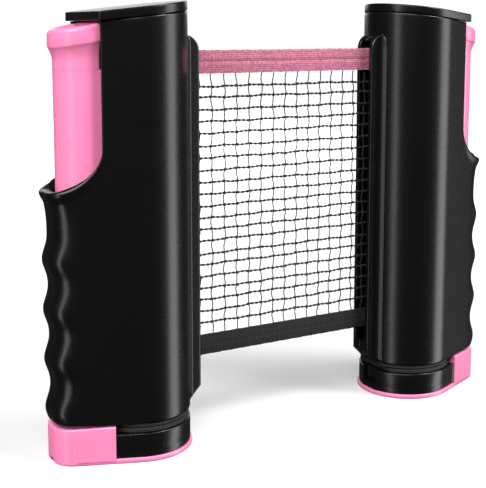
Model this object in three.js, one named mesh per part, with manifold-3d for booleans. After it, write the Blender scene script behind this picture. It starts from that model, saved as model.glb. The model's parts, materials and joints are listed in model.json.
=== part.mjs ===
// Retractable table tennis net with two spring clamp posts.
// Millimetres, +Z up. The origin is on the floor plane, midway between the posts.
// X runs along the net, Y across it. Inside a post, x runs outwards, away from the net.

import * as THREE from "three";
import { mergeVertices } from "three/addons/utils/BufferGeometryUtils.js";
import Module from "manifold-3d";

const wasm = await Module();
wasm.setup();

// ---- driving dimensions -------------------------------------------------------------

const GAP = 0.3;                       // air left between two pieces that touch
const REACH = 60;                      // further from the reel axis than any part of a post
const ABOVE = 200;                     // higher than any part of a post
const AXIS_X = 72.8;                   // reel axis to the middle of the net
const TABLE_Z = 14.5;                  // the face that stands on the table
const NET_HEIGHT = 152.5;              // top of the net above the table
const NET_TOP = TABLE_Z + NET_HEIGHT;

const BARREL_R = 22;                   // round part of the housing
const GRIP_END = 40.6;                 // furthest point of the grip from the reel axis
const CORNER_R = 6.7;                  // rounded corners of the grip
const CORNER_Y = 4.3;
const CAVITY_CORNER = [31.9, 5, 4.5];  // x, y and radius of the corners inside the wall
const WALL = 2;
const HOUSING_Z = 16.1;                // underside of the housing
const NOTCH_X = 21.4;                  // the housing is cut away beyond this, above the collar
const COLLAR_Z = 128.8;
const LIP_Z = 111.9;                   // tip of the collar's lip

const FINGER_PITCH = 20.7;
const FINGER_Z = 21.6;                 // lowest crest between the finger grooves
const FINGER_DEPTH = 2.3;
const FINGER_COUNT = 4;

const LID_Z = 181.6;                   // underside of the lid on the reel axis
const LID_SLOPE = 0.11;
const LID_THICK = 3.7;
const LID_END = 22.8;
const LID_END_Y = 17.7;
const LID_CORNER = 1.2;
const SKIRT_DEPTH = 4;
const SKIRT_LAP = 0.5;                 // how far the skirt runs into the lid
const SKIRT_X = -15;
const SKIRT_CORNER = [31.6, 4.7, 4.2];
const SKIRT_INNER_CORNER = [30.5, 3.6, 3.1];
const SKIRT_WALL = 1.4;

const PARTITION = [17.9, 19.4];        // wall between the reel and the slider
const SCREW_X = 17.2;
const SCREW_ZS = [46, 100, 156];
const BOSS_R = 2.4;
const HEAD_BOSS_R = 3.4;
const SHANK_R = 1;
const HEAD_R = 2.1;
const HEAD_BOSS_Y = 12.9;
const HEAD_SEAT_Y = 13.8;
const SHANK_END_Y = -12;
const SHELL_SCREW = { end: 16, length: 22.5, head: 1.9 };
const CROSS = { long: 2.4, wide: 0.6, deep: 0.9 };

const MOUTH_X = -27.5;                 // face of the lips that the net comes out of
const MOUTH_Y = 6;                     // outside of a lip
const SLOT_Y = 3.5;                    // inside of a lip
const MOUTH_ROOT_X = -16;              // the lips reach this far into the barrel
const MOUTH_Z = [17.6, 173.4];
const MOUTH_ROUND = 6.5;
const MOUTH_CHAMFER = 4.5;
const SLOT_Z = [27, 170.4];

const NET_END_X = 58.4;
const TOP_TAPE_H = 10;
const NET_FOOT = 33.5;
const FOOT_TAPE_H = 9;

const SPINDLE_R = 2;
const SPINDLE_TOP = 178.5;
const COLLAR_R = 4;                    // collar that carries the lower bush
const SPINDLE_COLLAR_TOP = 20.4;
const SPINDLE_PLATE_Z = [173.4, 175.4];
const SPINDLE_PLATE_X = -19.5;
const REEL_SPRING = { radius: 3.8, z: [28, 166], turns: 7, wire: 0.8 };
const CORE_R = [5.2, 6.7];
const CORE_Z = [22.4, 172.6];
const ROLL_R = 13.5;
const FLANGE_R = 17;
const FLANGE_THICK = 1.5;

const SLIDER_X = 22.6;                 // centre of the slider's half-round section
const SLIDER_R = 12;
const SLIDER_WALL = 2.2;
const SLIDER_BACK = 20;
const HEAD_TOP = 175.4;
const HEAD_EDGE_R = 14.7;
const HEAD_SLOPE = 0.18;                // the thumb rest rises towards the housing
const HEAD_FACE_X = 21.9;
const FLARE_Z = [163, 169.4];
const WEB_Z = [110, 112.5];
const SPRING_X = 27;
const SHELF_Z = [38, 40];
const SEAT_R = 5;
const ROD_R = 2;
const ROD_TOP = 98;
const ROD_COLLAR_R = 3.2;
const ROD_COLLAR_THICK = 1.2;
const CLAMP_SPRING = { radius: 4.2, turns: 8, wire: 1.2 };
const SLIDER_SCREWS = [[26, -5], [26, 5]];
const STEPS_PER_TURN = 10;

const PLATE_THICK = 2;
const JAW_GROW = 0.8;                  // the foot plate stands this much proud of the barrel
const JAW_WALL_X = 18.4;
const JAW_WALL_TOP = 15.6;
const BLOCK_TOP = 12;
const FOOT_Z = [4.8, 12];
const BOSS_TOP = 4.5;
const PAD_INSET = 1.6;
const PAD_CORNER = [16.5, 14, 2];
const JAW_CORNER = [32.8, 5, 5.9];
const JAW_INNER_CORNER = [31.2, 5.2, 4.5];
const JAW_BOSS_R = 3.6;
const JAW_HOLE_Z = [-1, 10.5];
const HEAD_RECESS_TOP = 2.6;
const JAW_SCREW_HEAD_Z = [0.5, 2.3];
const JAW_SCREW_END = 10;
const JAW_CROSS_TOP = 1.3;
const BLOCK_NOTCH = 3;
const BLOCK_NOTCH_Y = 4;
const BLOCK_SCREWS = [[-4, -11], [-4, 11]];

const BLACK = { color: 0x1b1b1c, roughness: 0.42, metalness: 0 };
const PINK = { color: 0xff8cc0, roughness: 0.35, metalness: 0 };
const RUBBER = { color: 0x141414, roughness: 0.85, metalness: 0 };
const STEEL = { color: 0xb9bcc0, roughness: 0.3, metalness: 1 };
const NYLON = { color: 0xd8d6cf, roughness: 0.5, metalness: 0 };
const TAPE_PINK = { color: 0xc3748f, roughness: 0.9, metalness: 0 };
const NET_BLACK = { color: 0x0c0c0c, roughness: 0.9, metalness: 0 };

// ---- solids from geometry -----------------------------------------------------------

function signedVolume(position, index) {
  const a = new THREE.Vector3();
  const b = new THREE.Vector3();
  const c = new THREE.Vector3();
  let sum = 0;
  for (let i = 0; i < index.length; i += 3) {
    a.fromBufferAttribute(position, index[i]);
    b.fromBufferAttribute(position, index[i + 1]);
    c.fromBufferAttribute(position, index[i + 2]);
    sum += a.dot(b.cross(c));
  }
  return sum;
}

function turnFaces(index) {
  for (let i = 0; i < index.length; i += 3) {
    [index[i + 1], index[i + 2]] = [index[i + 2], index[i + 1]];
  }
}

function solid(geometry) {
  geometry.deleteAttribute("normal");
  geometry.deleteAttribute("uv");
  const merged = mergeVertices(geometry, 1e-4);
  const index = Uint32Array.from(merged.index.array);
  if (signedVolume(merged.attributes.position, index) < 0) turnFaces(index);
  const vertProperties = Float32Array.from(merged.attributes.position.array);
  return new wasm.Manifold(new wasm.Mesh({ numProp: 3, vertProperties, triVerts: index }));
}

function geometryOf(manifold, side) {
  const mesh = manifold.getMesh();
  const index = Uint32Array.from(mesh.triVerts);
  const points = Float32Array.from(mesh.vertProperties);
  if (side < 0) {
    for (let i = 0; i < points.length; i += 3) points[i] = -points[i];
    turnFaces(index);
  }
  const geometry = new THREE.BufferGeometry();
  geometry.setAttribute("position", new THREE.BufferAttribute(points, 3));
  geometry.setIndex(new THREE.BufferAttribute(index, 1));
  geometry.computeVertexNormals();
  return geometry;
}

function box(x, y, z) {
  const geometry = new THREE.BoxGeometry(x[1] - x[0], y[1] - y[0], z[1] - z[0]);
  geometry.translate((x[0] + x[1]) / 2, (y[0] + y[1]) / 2, (z[0] + z[1]) / 2);
  return solid(geometry);
}

function post(x, y, radius, z, sides = 12) {
  const geometry = new THREE.CylinderGeometry(radius, radius, z[1] - z[0], sides);
  geometry.rotateX(Math.PI / 2).translate(x, y, (z[0] + z[1]) / 2);
  return solid(geometry);
}

function bar(x, z, radius, y, sides = 12) {
  const geometry = new THREE.CylinderGeometry(radius, radius, y[1] - y[0], sides);
  geometry.translate(x, (y[0] + y[1]) / 2, z);
  return solid(geometry);
}

function ring(x, inner, outer, z, sides = 24) {
  return post(x, 0, outer, z, sides).subtract(post(x, 0, inner, [z[0] - 1, z[1] + 1], sides));
}

// A plan outline raised between two heights.
function raised(points, z) {
  const geometry = new THREE.ExtrudeGeometry(new THREE.Shape(points), {
    depth: z[1] - z[0],
    bevelEnabled: false,
  });
  geometry.translate(0, 0, z[0]);
  return solid(geometry);
}

// A side outline (x, z) carried straight across the post from y[0] to y[1].
function across(points, y) {
  const geometry = new THREE.ExtrudeGeometry(new THREE.Shape(points), {
    depth: y[1] - y[0],
    bevelEnabled: false,
  });
  geometry.rotateX(Math.PI / 2).translate(0, y[1], 0);
  return solid(geometry);
}

// A profile (radius, z) turned about an upright axis at x.
function turned(points, x, sides = 32) {
  const geometry = new THREE.LatheGeometry(points, sides);
  geometry.rotateX(Math.PI / 2).translate(x, 0, 0);
  return solid(geometry);
}

function arc(x, y, radius, from, to, steps) {
  const points = [];
  for (let i = 0; i <= steps; i += 1) {
    const angle = from + ((to - from) * i) / steps;
    points.push(new THREE.Vector2(x + radius * Math.cos(angle), y + radius * Math.sin(angle)));
  }
  return points;
}

function at(x, y) {
  return new THREE.Vector2(x, y);
}

// The housing's plan: a round barrel drawn in to two corner circles of the grip.
function planOutline(barrel, cornerX, cornerY, corner) {
  const distance = Math.hypot(cornerX, cornerY);
  const tangent = Math.atan2(cornerY, cornerX) + Math.acos((barrel - corner) / distance);
  return [
    ...arc(0, 0, barrel, tangent, 2 * Math.PI - tangent, 28),
    ...arc(cornerX, -cornerY, corner, -tangent, 0, 5),
    ...arc(cornerX, cornerY, corner, 0, tangent, 5),
  ];
}

function housingPlan(grow = 0) {
  return planOutline(BARREL_R + grow, GRIP_END - CORNER_R, CORNER_Y, CORNER_R + grow);
}

function jawPlan(grow) {
  const [x, y, radius] = JAW_CORNER;
  return planOutline(BARREL_R + grow, x, y, radius + grow);
}

function cavityPlan() {
  return planOutline(BARREL_R - WALL, ...CAVITY_CORNER);
}

function padPlan() {
  return planOutline(BARREL_R - PAD_INSET, ...PAD_CORNER);
}

// ---- housing ------------------------------------------------------------------------

function lidUnderside(x) {
  return LID_Z - LID_SLOPE * x;
}

// Side view of the housing: finger grooves, flared collar, cut-away top, sloping lid joint.
function housingSide() {
  const points = [at(-40, HOUSING_Z)];
  const middle = GRIP_END - 0.3 - FINGER_DEPTH / 2;
  const top = FINGER_Z + FINGER_PITCH * (FINGER_COUNT - 0.5);
  const steps = 32;
  for (let i = 0; i <= steps; i += 1) {
    const z = HOUSING_Z + ((top - HOUSING_Z) * i) / steps;
    const phase = (2 * Math.PI * (z - FINGER_Z)) / FINGER_PITCH;
    points.push(at(middle + (FINGER_DEPTH / 2) * Math.cos(phase), z));
  }
  const valley = middle - FINGER_DEPTH / 2;
  const flare = new THREE.QuadraticBezierCurve(at(valley, top), at(valley, 106), at(GRIP_END, LIP_Z));
  const collar = new THREE.CubicBezierCurve(
    at(GRIP_END, LIP_Z),
    at(29, LIP_Z + 3),
    at(NOTCH_X + 0.6, LIP_Z + 8),
    at(NOTCH_X, COLLAR_Z),
  );
  points.push(...flare.getPoints(6).slice(1), ...collar.getPoints(12).slice(1));
  points.push(at(NOTCH_X, lidUnderside(NOTCH_X) - GAP), at(-40, lidUnderside(-40) - GAP));
  return points;
}

// Side view of the two lips beside the net slot, rounded at the top and chamfered below.
function mouthSide() {
  const [low, high] = MOUTH_Z;
  return [
    at(MOUTH_ROOT_X, low),
    at(MOUTH_X + MOUTH_CHAMFER, low),
    at(MOUTH_X, low + MOUTH_CHAMFER),
    ...arc(MOUTH_X + MOUTH_ROUND, high - MOUTH_ROUND, MOUTH_ROUND, Math.PI, Math.PI / 2, 8),
    at(MOUTH_ROOT_X, high),
  ];
}

function screwBosses() {
  let bosses = null;
  for (const z of SCREW_ZS) {
    const boss = bar(SCREW_X, z, BOSS_R, [-REACH, REACH])
      .add(bar(SCREW_X, z, HEAD_BOSS_R, [HEAD_BOSS_Y, REACH]));
    bosses = bosses ? bosses.add(boss) : boss;
  }
  return bosses;
}

function screwHoles() {
  let holes = null;
  for (const z of SCREW_ZS) {
    const hole = bar(SCREW_X, z, SHANK_R + GAP, [SHANK_END_Y, REACH])
      .add(bar(SCREW_X, z, HEAD_R + GAP, [HEAD_SEAT_Y, REACH]));
    holes = holes ? holes.add(hole) : hole;
  }
  return holes;
}

function housingSolid() {
  const skin = raised(housingPlan(), [HOUSING_Z, ABOVE])
    .intersect(across(housingSide(), [-REACH, REACH]));
  const reelRoom = raised(cavityPlan(), [HOUSING_Z + WALL, ABOVE])
    .intersect(box([-REACH, PARTITION[0]], [-REACH, REACH], [0, ABOVE]));
  const sliderRoom = raised(cavityPlan(), [0, ABOVE])
    .intersect(box([PARTITION[1], REACH], [-REACH, REACH], [0, ABOVE]));
  const lips = across(mouthSide(), [-MOUTH_Y, MOUTH_Y])
    .subtract(post(0, 0, BARREL_R - WALL, [0, ABOVE], 28));
  const slot = box([-REACH, MOUTH_ROOT_X], [-SLOT_Y, SLOT_Y], SLOT_Z);
  const shelf = box([PARTITION[1] - 1, SPRING_X], [-SEAT_R, SEAT_R], SHELF_Z)
    .add(post(SPRING_X, 0, SEAT_R, SHELF_Z, 20));
  const bosses = screwBosses().intersect(raised(housingPlan(-1), [20, 170]));
  const spindleHole = post(0, 0, SPINDLE_R + GAP, [0, HOUSING_Z + WALL + 1]);
  const rodHole = post(SPRING_X, 0, ROD_R + GAP, [SHELF_Z[0] - 1, SHELF_Z[1] + 1]);
  return skin
    .subtract(reelRoom)
    .subtract(sliderRoom)
    .add(lips)
    .add(shelf)
    .add(bosses)
    .subtract(slot)
    .subtract(screwHoles())
    .subtract(spindleHole)
    .subtract(rodHole);
}

const housing = housingSolid();

function frontShell() {
  return housing.intersect(box([-REACH, REACH], [-REACH, -GAP / 2], [0, ABOVE]));
}

function rearShell() {
  return housing.intersect(box([-REACH, REACH], [GAP / 2, REACH], [0, ABOVE]));
}

// Lid: sloping plate with a flat outer end, and a skirt that holds the two shells together.
function topLid() {
  const plan = planOutline(BARREL_R, LID_END - LID_CORNER, LID_END_Y - LID_CORNER, LID_CORNER);
  const side = [
    at(-40, lidUnderside(-40)),
    at(40, lidUnderside(40)),
    at(40, lidUnderside(40) + LID_THICK),
    at(-40, lidUnderside(-40) + LID_THICK),
  ];
  const plate = raised(plan, [0, ABOVE]).intersect(across(side, [-REACH, REACH]));
  const outer = planOutline(BARREL_R - WALL - GAP, ...SKIRT_CORNER);
  const inner = planOutline(BARREL_R - WALL - SKIRT_WALL, ...SKIRT_INNER_CORNER);
  const skirt = raised(outer, [lidUnderside(0) - SKIRT_DEPTH, lidUnderside(0) + SKIRT_LAP])
    .subtract(raised(inner, [0, ABOVE]))
    .intersect(box([SKIRT_X, PARTITION[0] - GAP], [-REACH, REACH], [0, ABOVE]));
  return plate.add(skirt);
}

// A screw lying across the post at (x, z), with its head at SHELL_SCREW.end.
function shellScrew(z) {
  const { end, length, head } = SHELL_SCREW;
  const { long, wide, deep } = CROSS;
  const slotOf = (w, h) => box(
    [SCREW_X - w / 2, SCREW_X + w / 2],
    [end - deep, end + 1],
    [z - h / 2, z + h / 2],
  );
  return bar(SCREW_X, z, HEAD_R, [end - head, end])
    .add(bar(SCREW_X, z, SHANK_R, [end - head - length, end - head + 0.1]))
    .subtract(slotOf(long, wide).add(slotOf(wide, long)));
}

function upperJawPad() {
  return raised(padPlan(), [TABLE_Z, HOUSING_Z - GAP])
    .intersect(box([-21, JAW_WALL_X - JAW_GROW], [-REACH, REACH], [0, ABOVE]));
}

// ---- reel ---------------------------------------------------------------------------

function spindle() {
  return post(0, 0, SPINDLE_R, [HOUSING_Z + GAP, SPINDLE_TOP])
    .add(post(0, 0, COLLAR_R, [HOUSING_Z + WALL + GAP, SPINDLE_COLLAR_TOP]));
}

function spindlePlate() {
  return post(0, 0, BARREL_R - WALL - GAP, SPINDLE_PLATE_Z, 28)
    .intersect(box([SPINDLE_PLATE_X, PARTITION[0] - GAP], [-REACH, REACH], [0, ABOVE]))
    .subtract(post(0, 0, SPINDLE_R + GAP, [0, ABOVE]))
    .subtract(box([-REACH, MOUTH_ROOT_X + 0.5], [-SLOT_Y, SLOT_Y], [0, ABOVE]));
}

function reelCore() {
  return ring(0, CORE_R[0], CORE_R[1], CORE_Z);
}

function bush(z) {
  return ring(0, SPINDLE_R + GAP, CORE_R[0] - GAP, z);
}

function flange(z) {
  return ring(0, CORE_R[1] + GAP, FLANGE_R, z);
}

function woundNet() {
  return ring(0, CORE_R[1] + GAP, ROLL_R, [NET_FOOT, NET_TOP]);
}

class Helix extends THREE.Curve {
  constructor(x, radius, low, high, turns) {
    super();
    Object.assign(this, { x, radius, low, high, turns });
  }

  getPoint(t, target = new THREE.Vector3()) {
    const angle = 2 * Math.PI * this.turns * t;
    const z = this.low + (this.high - this.low) * t;
    return target.set(this.x + this.radius * Math.cos(angle), this.radius * Math.sin(angle), z);
  }
}

function coil(x, radius, z, turns, wire) {
  const section = new THREE.Shape(arc(0, 0, wire / 2, 0, (Math.PI * 8) / 5, 4));
  return solid(new THREE.ExtrudeGeometry(section, {
    steps: turns * STEPS_PER_TURN,
    bevelEnabled: false,
    extrudePath: new Helix(x, radius, z[0] + wire / 2, z[1] - wire / 2, turns),
  }));
}

function reelSpring() {
  const { radius, z, turns, wire } = REEL_SPRING;
  return coil(0, radius, z, turns, wire);
}

// ---- clamp --------------------------------------------------------------------------

// Half-round section, open on the side of the reel.
function sliderPlan(radius) {
  return [
    at(SLIDER_BACK, -radius),
    ...arc(SLIDER_X, 0, radius, -Math.PI / 2, Math.PI / 2, 18),
    at(SLIDER_BACK, radius),
  ];
}

// Thumb rest: the column flares to a wide head, whose top rises towards the housing.
function thumbRest() {
  const headLimit = 190;
  const profile = [
    at(0, FLARE_Z[0]),
    at(SLIDER_R - 0.05, FLARE_Z[0]),
    at(SLIDER_R + 0.9, FLARE_Z[0] + 3),
    at(HEAD_EDGE_R - 0.4, FLARE_Z[1] - 1.2),
    at(HEAD_EDGE_R, FLARE_Z[1]),
    at(HEAD_EDGE_R, headLimit),
    at(0, headLimit),
  ];
  const end = SLIDER_X + HEAD_EDGE_R;
  const side = [
    at(HEAD_FACE_X, FLARE_Z[0] - 1),
    at(end + 1, FLARE_Z[0] - 1),
    at(end + 1, HEAD_TOP - HEAD_SLOPE),
    at(HEAD_FACE_X, HEAD_TOP + HEAD_SLOPE * (end - HEAD_FACE_X)),
  ];
  return turned(profile, SLIDER_X).intersect(across(side, [-40, 40]));
}

function clampSlider() {
  const inside = SLIDER_R - SLIDER_WALL;
  const tube = raised(sliderPlan(SLIDER_R), [PLATE_THICK + GAP, FLARE_Z[0] + 1]);
  const hollow = raised(sliderPlan(inside), [0, FLARE_Z[0] - 3])
    .add(box([0, SLIDER_BACK + 1], [-inside, inside], [0, FLARE_Z[0] - 3]));
  const web = raised(sliderPlan(inside + 0.5), WEB_Z)
    .subtract(post(SPRING_X, 0, ROD_R + 2 * GAP, [0, ABOVE]));
  const foot = raised(sliderPlan(inside + 0.5), FOOT_Z);
  const pilots = jawScrewHoles(SLIDER_SCREWS, SHANK_R + GAP);
  return tube.subtract(hollow).add(web).add(foot).add(thumbRest()).subtract(pilots);
}

function jawScrewHoles(places, radius) {
  return places
    .map(([x, y]) => post(x, y, radius, JAW_HOLE_Z))
    .reduce((sum, hole) => sum.add(hole));
}

function headRecesses(places) {
  return places
    .map(([x, y]) => post(x, y, HEAD_R + GAP, [-1, HEAD_RECESS_TOP]))
    .reduce((sum, hole) => sum.add(hole));
}

// Lower jaw: a thin plate under the whole post and a wall round the outer end.
function lowerJaw() {
  const plan = jawPlan(JAW_GROW);
  const inner = planOutline(BARREL_R - WALL, ...JAW_INNER_CORNER);
  const plate = raised(plan, [0, PLATE_THICK]);
  const wall = raised(plan, [0, JAW_WALL_TOP])
    .subtract(raised(inner, [PLATE_THICK, ABOVE]))
    .intersect(box([JAW_WALL_X, REACH], [-REACH, REACH], [0, ABOVE]));
  const places = [...SLIDER_SCREWS, ...BLOCK_SCREWS];
  const bosses = places
    .map(([x, y]) => post(x, y, JAW_BOSS_R, [PLATE_THICK / 2, BOSS_TOP]))
    .reduce((sum, boss) => sum.add(boss));
  return plate
    .add(wall)
    .add(bosses)
    .subtract(jawScrewHoles(places, SHANK_R + GAP))
    .subtract(headRecesses(places));
}

function jawScrew([x, y]) {
  const { long, wide } = CROSS;
  const slotOf = (w, h) => box(
    [x - w / 2, x + w / 2],
    [y - h / 2, y + h / 2],
    [0, JAW_CROSS_TOP],
  );
  return post(x, y, HEAD_R, JAW_SCREW_HEAD_Z)
    .add(post(x, y, SHANK_R, [JAW_SCREW_HEAD_Z[1] - 0.1, JAW_SCREW_END]))
    .subtract(slotOf(long, wide).add(slotOf(wide, long)));
}

// Black block that carries the lower pad, notched where the lips of the mouth come down.
function jawBlock() {
  const bossRooms = BLOCK_SCREWS
    .map(([x, y]) => post(x, y, JAW_BOSS_R + GAP, [0, BOSS_TOP + GAP]))
    .reduce((sum, room) => sum.add(room));
  return raised(jawPlan(0), [PLATE_THICK + GAP, BLOCK_TOP])
    .intersect(box([-REACH, JAW_WALL_X - GAP], [-REACH, REACH], [0, ABOVE]))
    .subtract(box([-REACH, -BARREL_R + BLOCK_NOTCH], [-BLOCK_NOTCH_Y, BLOCK_NOTCH_Y], [0, ABOVE]))
    .subtract(jawScrewHoles(BLOCK_SCREWS, SHANK_R + GAP))
    .subtract(bossRooms);
}

function lowerJawPad() {
  return raised(padPlan(), [BLOCK_TOP + GAP, TABLE_Z - 0.4])
    .intersect(box([-18.6, JAW_WALL_X - JAW_GROW], [-REACH, REACH], [0, ABOVE]));
}

function springGuide() {
  return post(SPRING_X, 0, ROD_R, [SHELF_Z[0] - 3, ROD_TOP])
    .add(post(SPRING_X, 0, ROD_COLLAR_R, [SHELF_Z[1] + GAP, SHELF_Z[1] + GAP + ROD_COLLAR_THICK]));
}

function clampSpring() {
  const { radius, turns, wire } = CLAMP_SPRING;
  return coil(SPRING_X, radius, [SHELF_Z[1] + GAP, WEB_Z[0] - GAP], turns, wire);
}

// ---- assembly -----------------------------------------------------------------------

const group = new THREE.Group();

function addMesh(parent, name, geometry, look) {
  const mesh = new THREE.Mesh(geometry, new THREE.MeshStandardMaterial(look));
  mesh.name = name;
  parent.add(mesh);
}

const POST_PIECES = [
  ["front_shell", frontShell(), BLACK],
  ["rear_shell", rearShell(), BLACK],
  ["top_lid", topLid(), BLACK],
  ...SCREW_ZS.map((z, i) => [`shell_screw_${i + 1}`, shellScrew(z), STEEL]),
  ["upper_jaw_pad", upperJawPad(), RUBBER],
  ["reel_spindle", spindle(), STEEL],
  ["spindle_plate", spindlePlate(), NYLON],
  ["reel_core", reelCore(), NYLON],
  ["lower_bush", bush([22.4, 26.4]), NYLON],
  ["upper_bush", bush([168, 172]), NYLON],
  ["lower_flange", flange([NET_FOOT - GAP - FLANGE_THICK, NET_FOOT - GAP]), NYLON],
  ["upper_flange", flange([NET_TOP + GAP, NET_TOP + GAP + FLANGE_THICK]), NYLON],
  ["wound_net", woundNet(), NET_BLACK],
  ["reel_spring", reelSpring(), STEEL],
  ["clamp_slider", clampSlider(), PINK],
  ["lower_jaw", lowerJaw(), PINK],
  ["jaw_block", jawBlock(), BLACK],
  ["lower_jaw_pad", lowerJawPad(), RUBBER],
  ...SLIDER_SCREWS.map((place, i) => [`slider_screw_${i + 1}`, jawScrew(place), STEEL]),
  ...BLOCK_SCREWS.map((place, i) => [`block_screw_${i + 1}`, jawScrew(place), STEEL]),
  ["spring_guide", springGuide(), STEEL],
  ["clamp_spring", clampSpring(), STEEL],
];

for (const [word, side] of [["left", -1], ["right", 1]]) {
  const clampPost = new THREE.Group();
  clampPost.position.set(side * AXIS_X, 0, 0);
  for (const [name, manifold, look] of POST_PIECES) {
    addMesh(clampPost, `${word}_${name}`, geometryOf(manifold, side), look);
  }
  group.add(clampPost);
}

// The stretch of net between the rolls: head tape, knotted mesh and foot tape.
const strips = [
  ["net_top_tape", [NET_TOP - TOP_TAPE_H, NET_TOP], 1.2, TAPE_PINK],
  ["net_mesh", [NET_FOOT + FOOT_TAPE_H + GAP, NET_TOP - TOP_TAPE_H - GAP], 0.8, NET_BLACK],
  ["net_bottom_tape", [NET_FOOT, NET_FOOT + FOOT_TAPE_H], 1, NET_BLACK],
];
for (const [name, z, thick, look] of strips) {
  const strip = box([-NET_END_X, NET_END_X], [-thick / 2, thick / 2], z);
  addMesh(group, name, geometryOf(strip, 1), look);
}

export default group;
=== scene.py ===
"""Retractable table tennis net with two spring clamp posts.

Every shape is a surface worked out from a few sizes. Inside a post, u runs outwards from the reel
axis along the net, v runs across it and z is up, all in millimetres. The finished meshes are in metres.
"""

import json
import math

import bmesh
import bpy
import numpy as np
from bpy.props import FloatProperty, FloatVectorProperty, IntProperty, PointerProperty
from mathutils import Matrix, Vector


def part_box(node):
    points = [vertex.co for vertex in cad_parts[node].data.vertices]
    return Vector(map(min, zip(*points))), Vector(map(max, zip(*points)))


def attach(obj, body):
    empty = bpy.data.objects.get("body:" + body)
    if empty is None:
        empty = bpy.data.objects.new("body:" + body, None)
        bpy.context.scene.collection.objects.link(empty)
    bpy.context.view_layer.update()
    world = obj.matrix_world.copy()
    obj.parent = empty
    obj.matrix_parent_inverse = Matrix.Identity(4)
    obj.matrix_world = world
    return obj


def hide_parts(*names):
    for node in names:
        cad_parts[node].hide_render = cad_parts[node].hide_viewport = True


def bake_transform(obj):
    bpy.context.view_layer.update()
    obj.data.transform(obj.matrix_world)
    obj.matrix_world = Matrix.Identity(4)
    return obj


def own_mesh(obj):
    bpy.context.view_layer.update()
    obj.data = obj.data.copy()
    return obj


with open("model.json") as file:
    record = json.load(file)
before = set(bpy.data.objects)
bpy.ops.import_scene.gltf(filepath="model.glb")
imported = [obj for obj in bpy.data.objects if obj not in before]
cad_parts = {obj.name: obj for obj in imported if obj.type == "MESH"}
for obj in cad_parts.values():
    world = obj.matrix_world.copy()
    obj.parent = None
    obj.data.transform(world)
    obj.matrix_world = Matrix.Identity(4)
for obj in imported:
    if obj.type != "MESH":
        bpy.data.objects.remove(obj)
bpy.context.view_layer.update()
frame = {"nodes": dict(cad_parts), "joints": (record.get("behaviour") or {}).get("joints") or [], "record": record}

bl_info = {
    "name": "Retractable net posts",
    "version": (1, 0, 0),
    "blender": (4, 5, 0),
    "location": "View3D > Sidebar > Net posts",
    "description": "Builds a retractable table tennis net between two clamp posts",
    "category": "Add Mesh",
}

MM = 0.001
SIDES = (("left", -1), ("right", 1))
JOINTS = {joint["name"]: joint for joint in frame["joints"]}


def box_mm(node):
    """The low and high corner of a CAD node, in millimetres."""
    low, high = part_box(node)
    return np.array(low) / MM, np.array(high) / MM


AXIS_X = JOINTS["right_reel_turn"]["pos_m"][0] / MM
SHELL_LOW, SHELL_HIGH = box_mm("right_front_shell")
GRIP_END = float(SHELL_HIGH[0]) - AXIS_X
JAW_HIGH = box_mm("right_lower_jaw")[1]
TAPE_LOW, TAPE_HIGH = box_mm("net_top_tape")
FOOT_LOW, FOOT_HIGH = box_mm("net_bottom_tape")
SPRING_LOW, SPRING_HIGH = box_mm("right_clamp_spring")


# ---- sizes and colours ----------------------------------------------------------------------

LONGEST = 300.0             # upper limit of every size

def size(name, text, value):
    """A length property in millimetres. It has no unit, because that would read it as metres."""
    return FloatProperty(name=name, description=text, default=value, min=0.0, max=LONGEST)


def slope(name, text, value):
    """A slope property: the rise divided by the run."""
    return FloatProperty(name=name, description=text, default=value, min=0.0, max=1.0, subtype="FACTOR")


class NetPostSizes(bpy.types.PropertyGroup):
    """Driving sizes of one post, in millimetres, and its slopes."""

    barrel_r: size("Barrel radius", "Outside radius of the round part of the housing", 22.0)
    grip_end: size("Grip end", "Furthest point of the grip from the reel axis", GRIP_END)
    corner_r: size("Grip corner", "Radius of the grip's upright corners", 8.4)
    corner_v: size("Grip corner offset", "Distance of a corner's centre from the net plane", 2.6)
    wall: size("Wall", "Wall of the housing", 2.0)
    lip_wall: size("Collar lip", "Width of the collar's lip at the outer end", 4.2)
    housing_z: size("Housing foot", "Height of the housing's underside", float(SHELL_LOW[2]))
    notch_u: size("Notch", "Where the housing is cut away above the collar", 21.4)
    collar_z: size("Collar top", "Height where the collar runs into the upright edge", 128.8)
    lip_z: size("Lip tip", "Height of the tip of the collar's lip", 111.9)
    finger_pitch: size("Finger pitch", "Distance between finger grooves", 20.7)
    finger_z: size("First crest", "Height of the lowest crest between the grooves", 21.6)
    finger_depth: size("Groove depth", "Depth of the finger grooves", 2.3)
    lid_z: size("Lid height", "Underside of the lid on the reel axis", 181.6)
    lid_slope: slope("Lid slope", "Fall of the lid towards the grip", 0.11)
    lid_thick: size("Lid thickness", "Thickness of the lid", 3.7)
    mouth_u: size("Mouth", "Face of the lips beside the net slot", AXIS_X - 45.3)
    mouth_v: size("Lip outside", "Outside of a lip from the net plane", 6.0)
    slot_v: size("Slot half width", "Inside of a lip from the net plane", 3.5)
    slider_u: size("Slider centre", "Centre of the slider's half round section", 22.6)
    slider_r: size("Slider radius", "Radius of the slider", 12.0)
    head_r: size("Thumb rest radius", "Radius of the thumb rest's rim", 13.9)
    head_slope: slope("Thumb rest slope", "Rise of the thumb rest towards the housing", 0.18)
    thread_pitch_x: size("Mesh width", "Distance between upright threads", 6.3)
    cell_rows: IntProperty(
        name="Mesh rows",
        description="Rows of cells between the foot tape and the head tape",
        default=22,
        min=2,
    )


def colour(name, text, value):
    """A colour property, given as an sRGB hex value and held as linear red, green and blue."""
    return FloatVectorProperty(name=name, description=text, subtype="COLOR", size=3, default=linear(value))


def linear(value):
    """Linear red, green and blue of an sRGB hex value, by the standard's two-part curve."""
    channels = [int(value[i:i + 2], 16) / 255 for i in (1, 3, 5)]
    return tuple(c / 12.92 if c <= 0.04045 else ((c + 0.055) / 1.055) ** 2.4 for c in channels)


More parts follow.
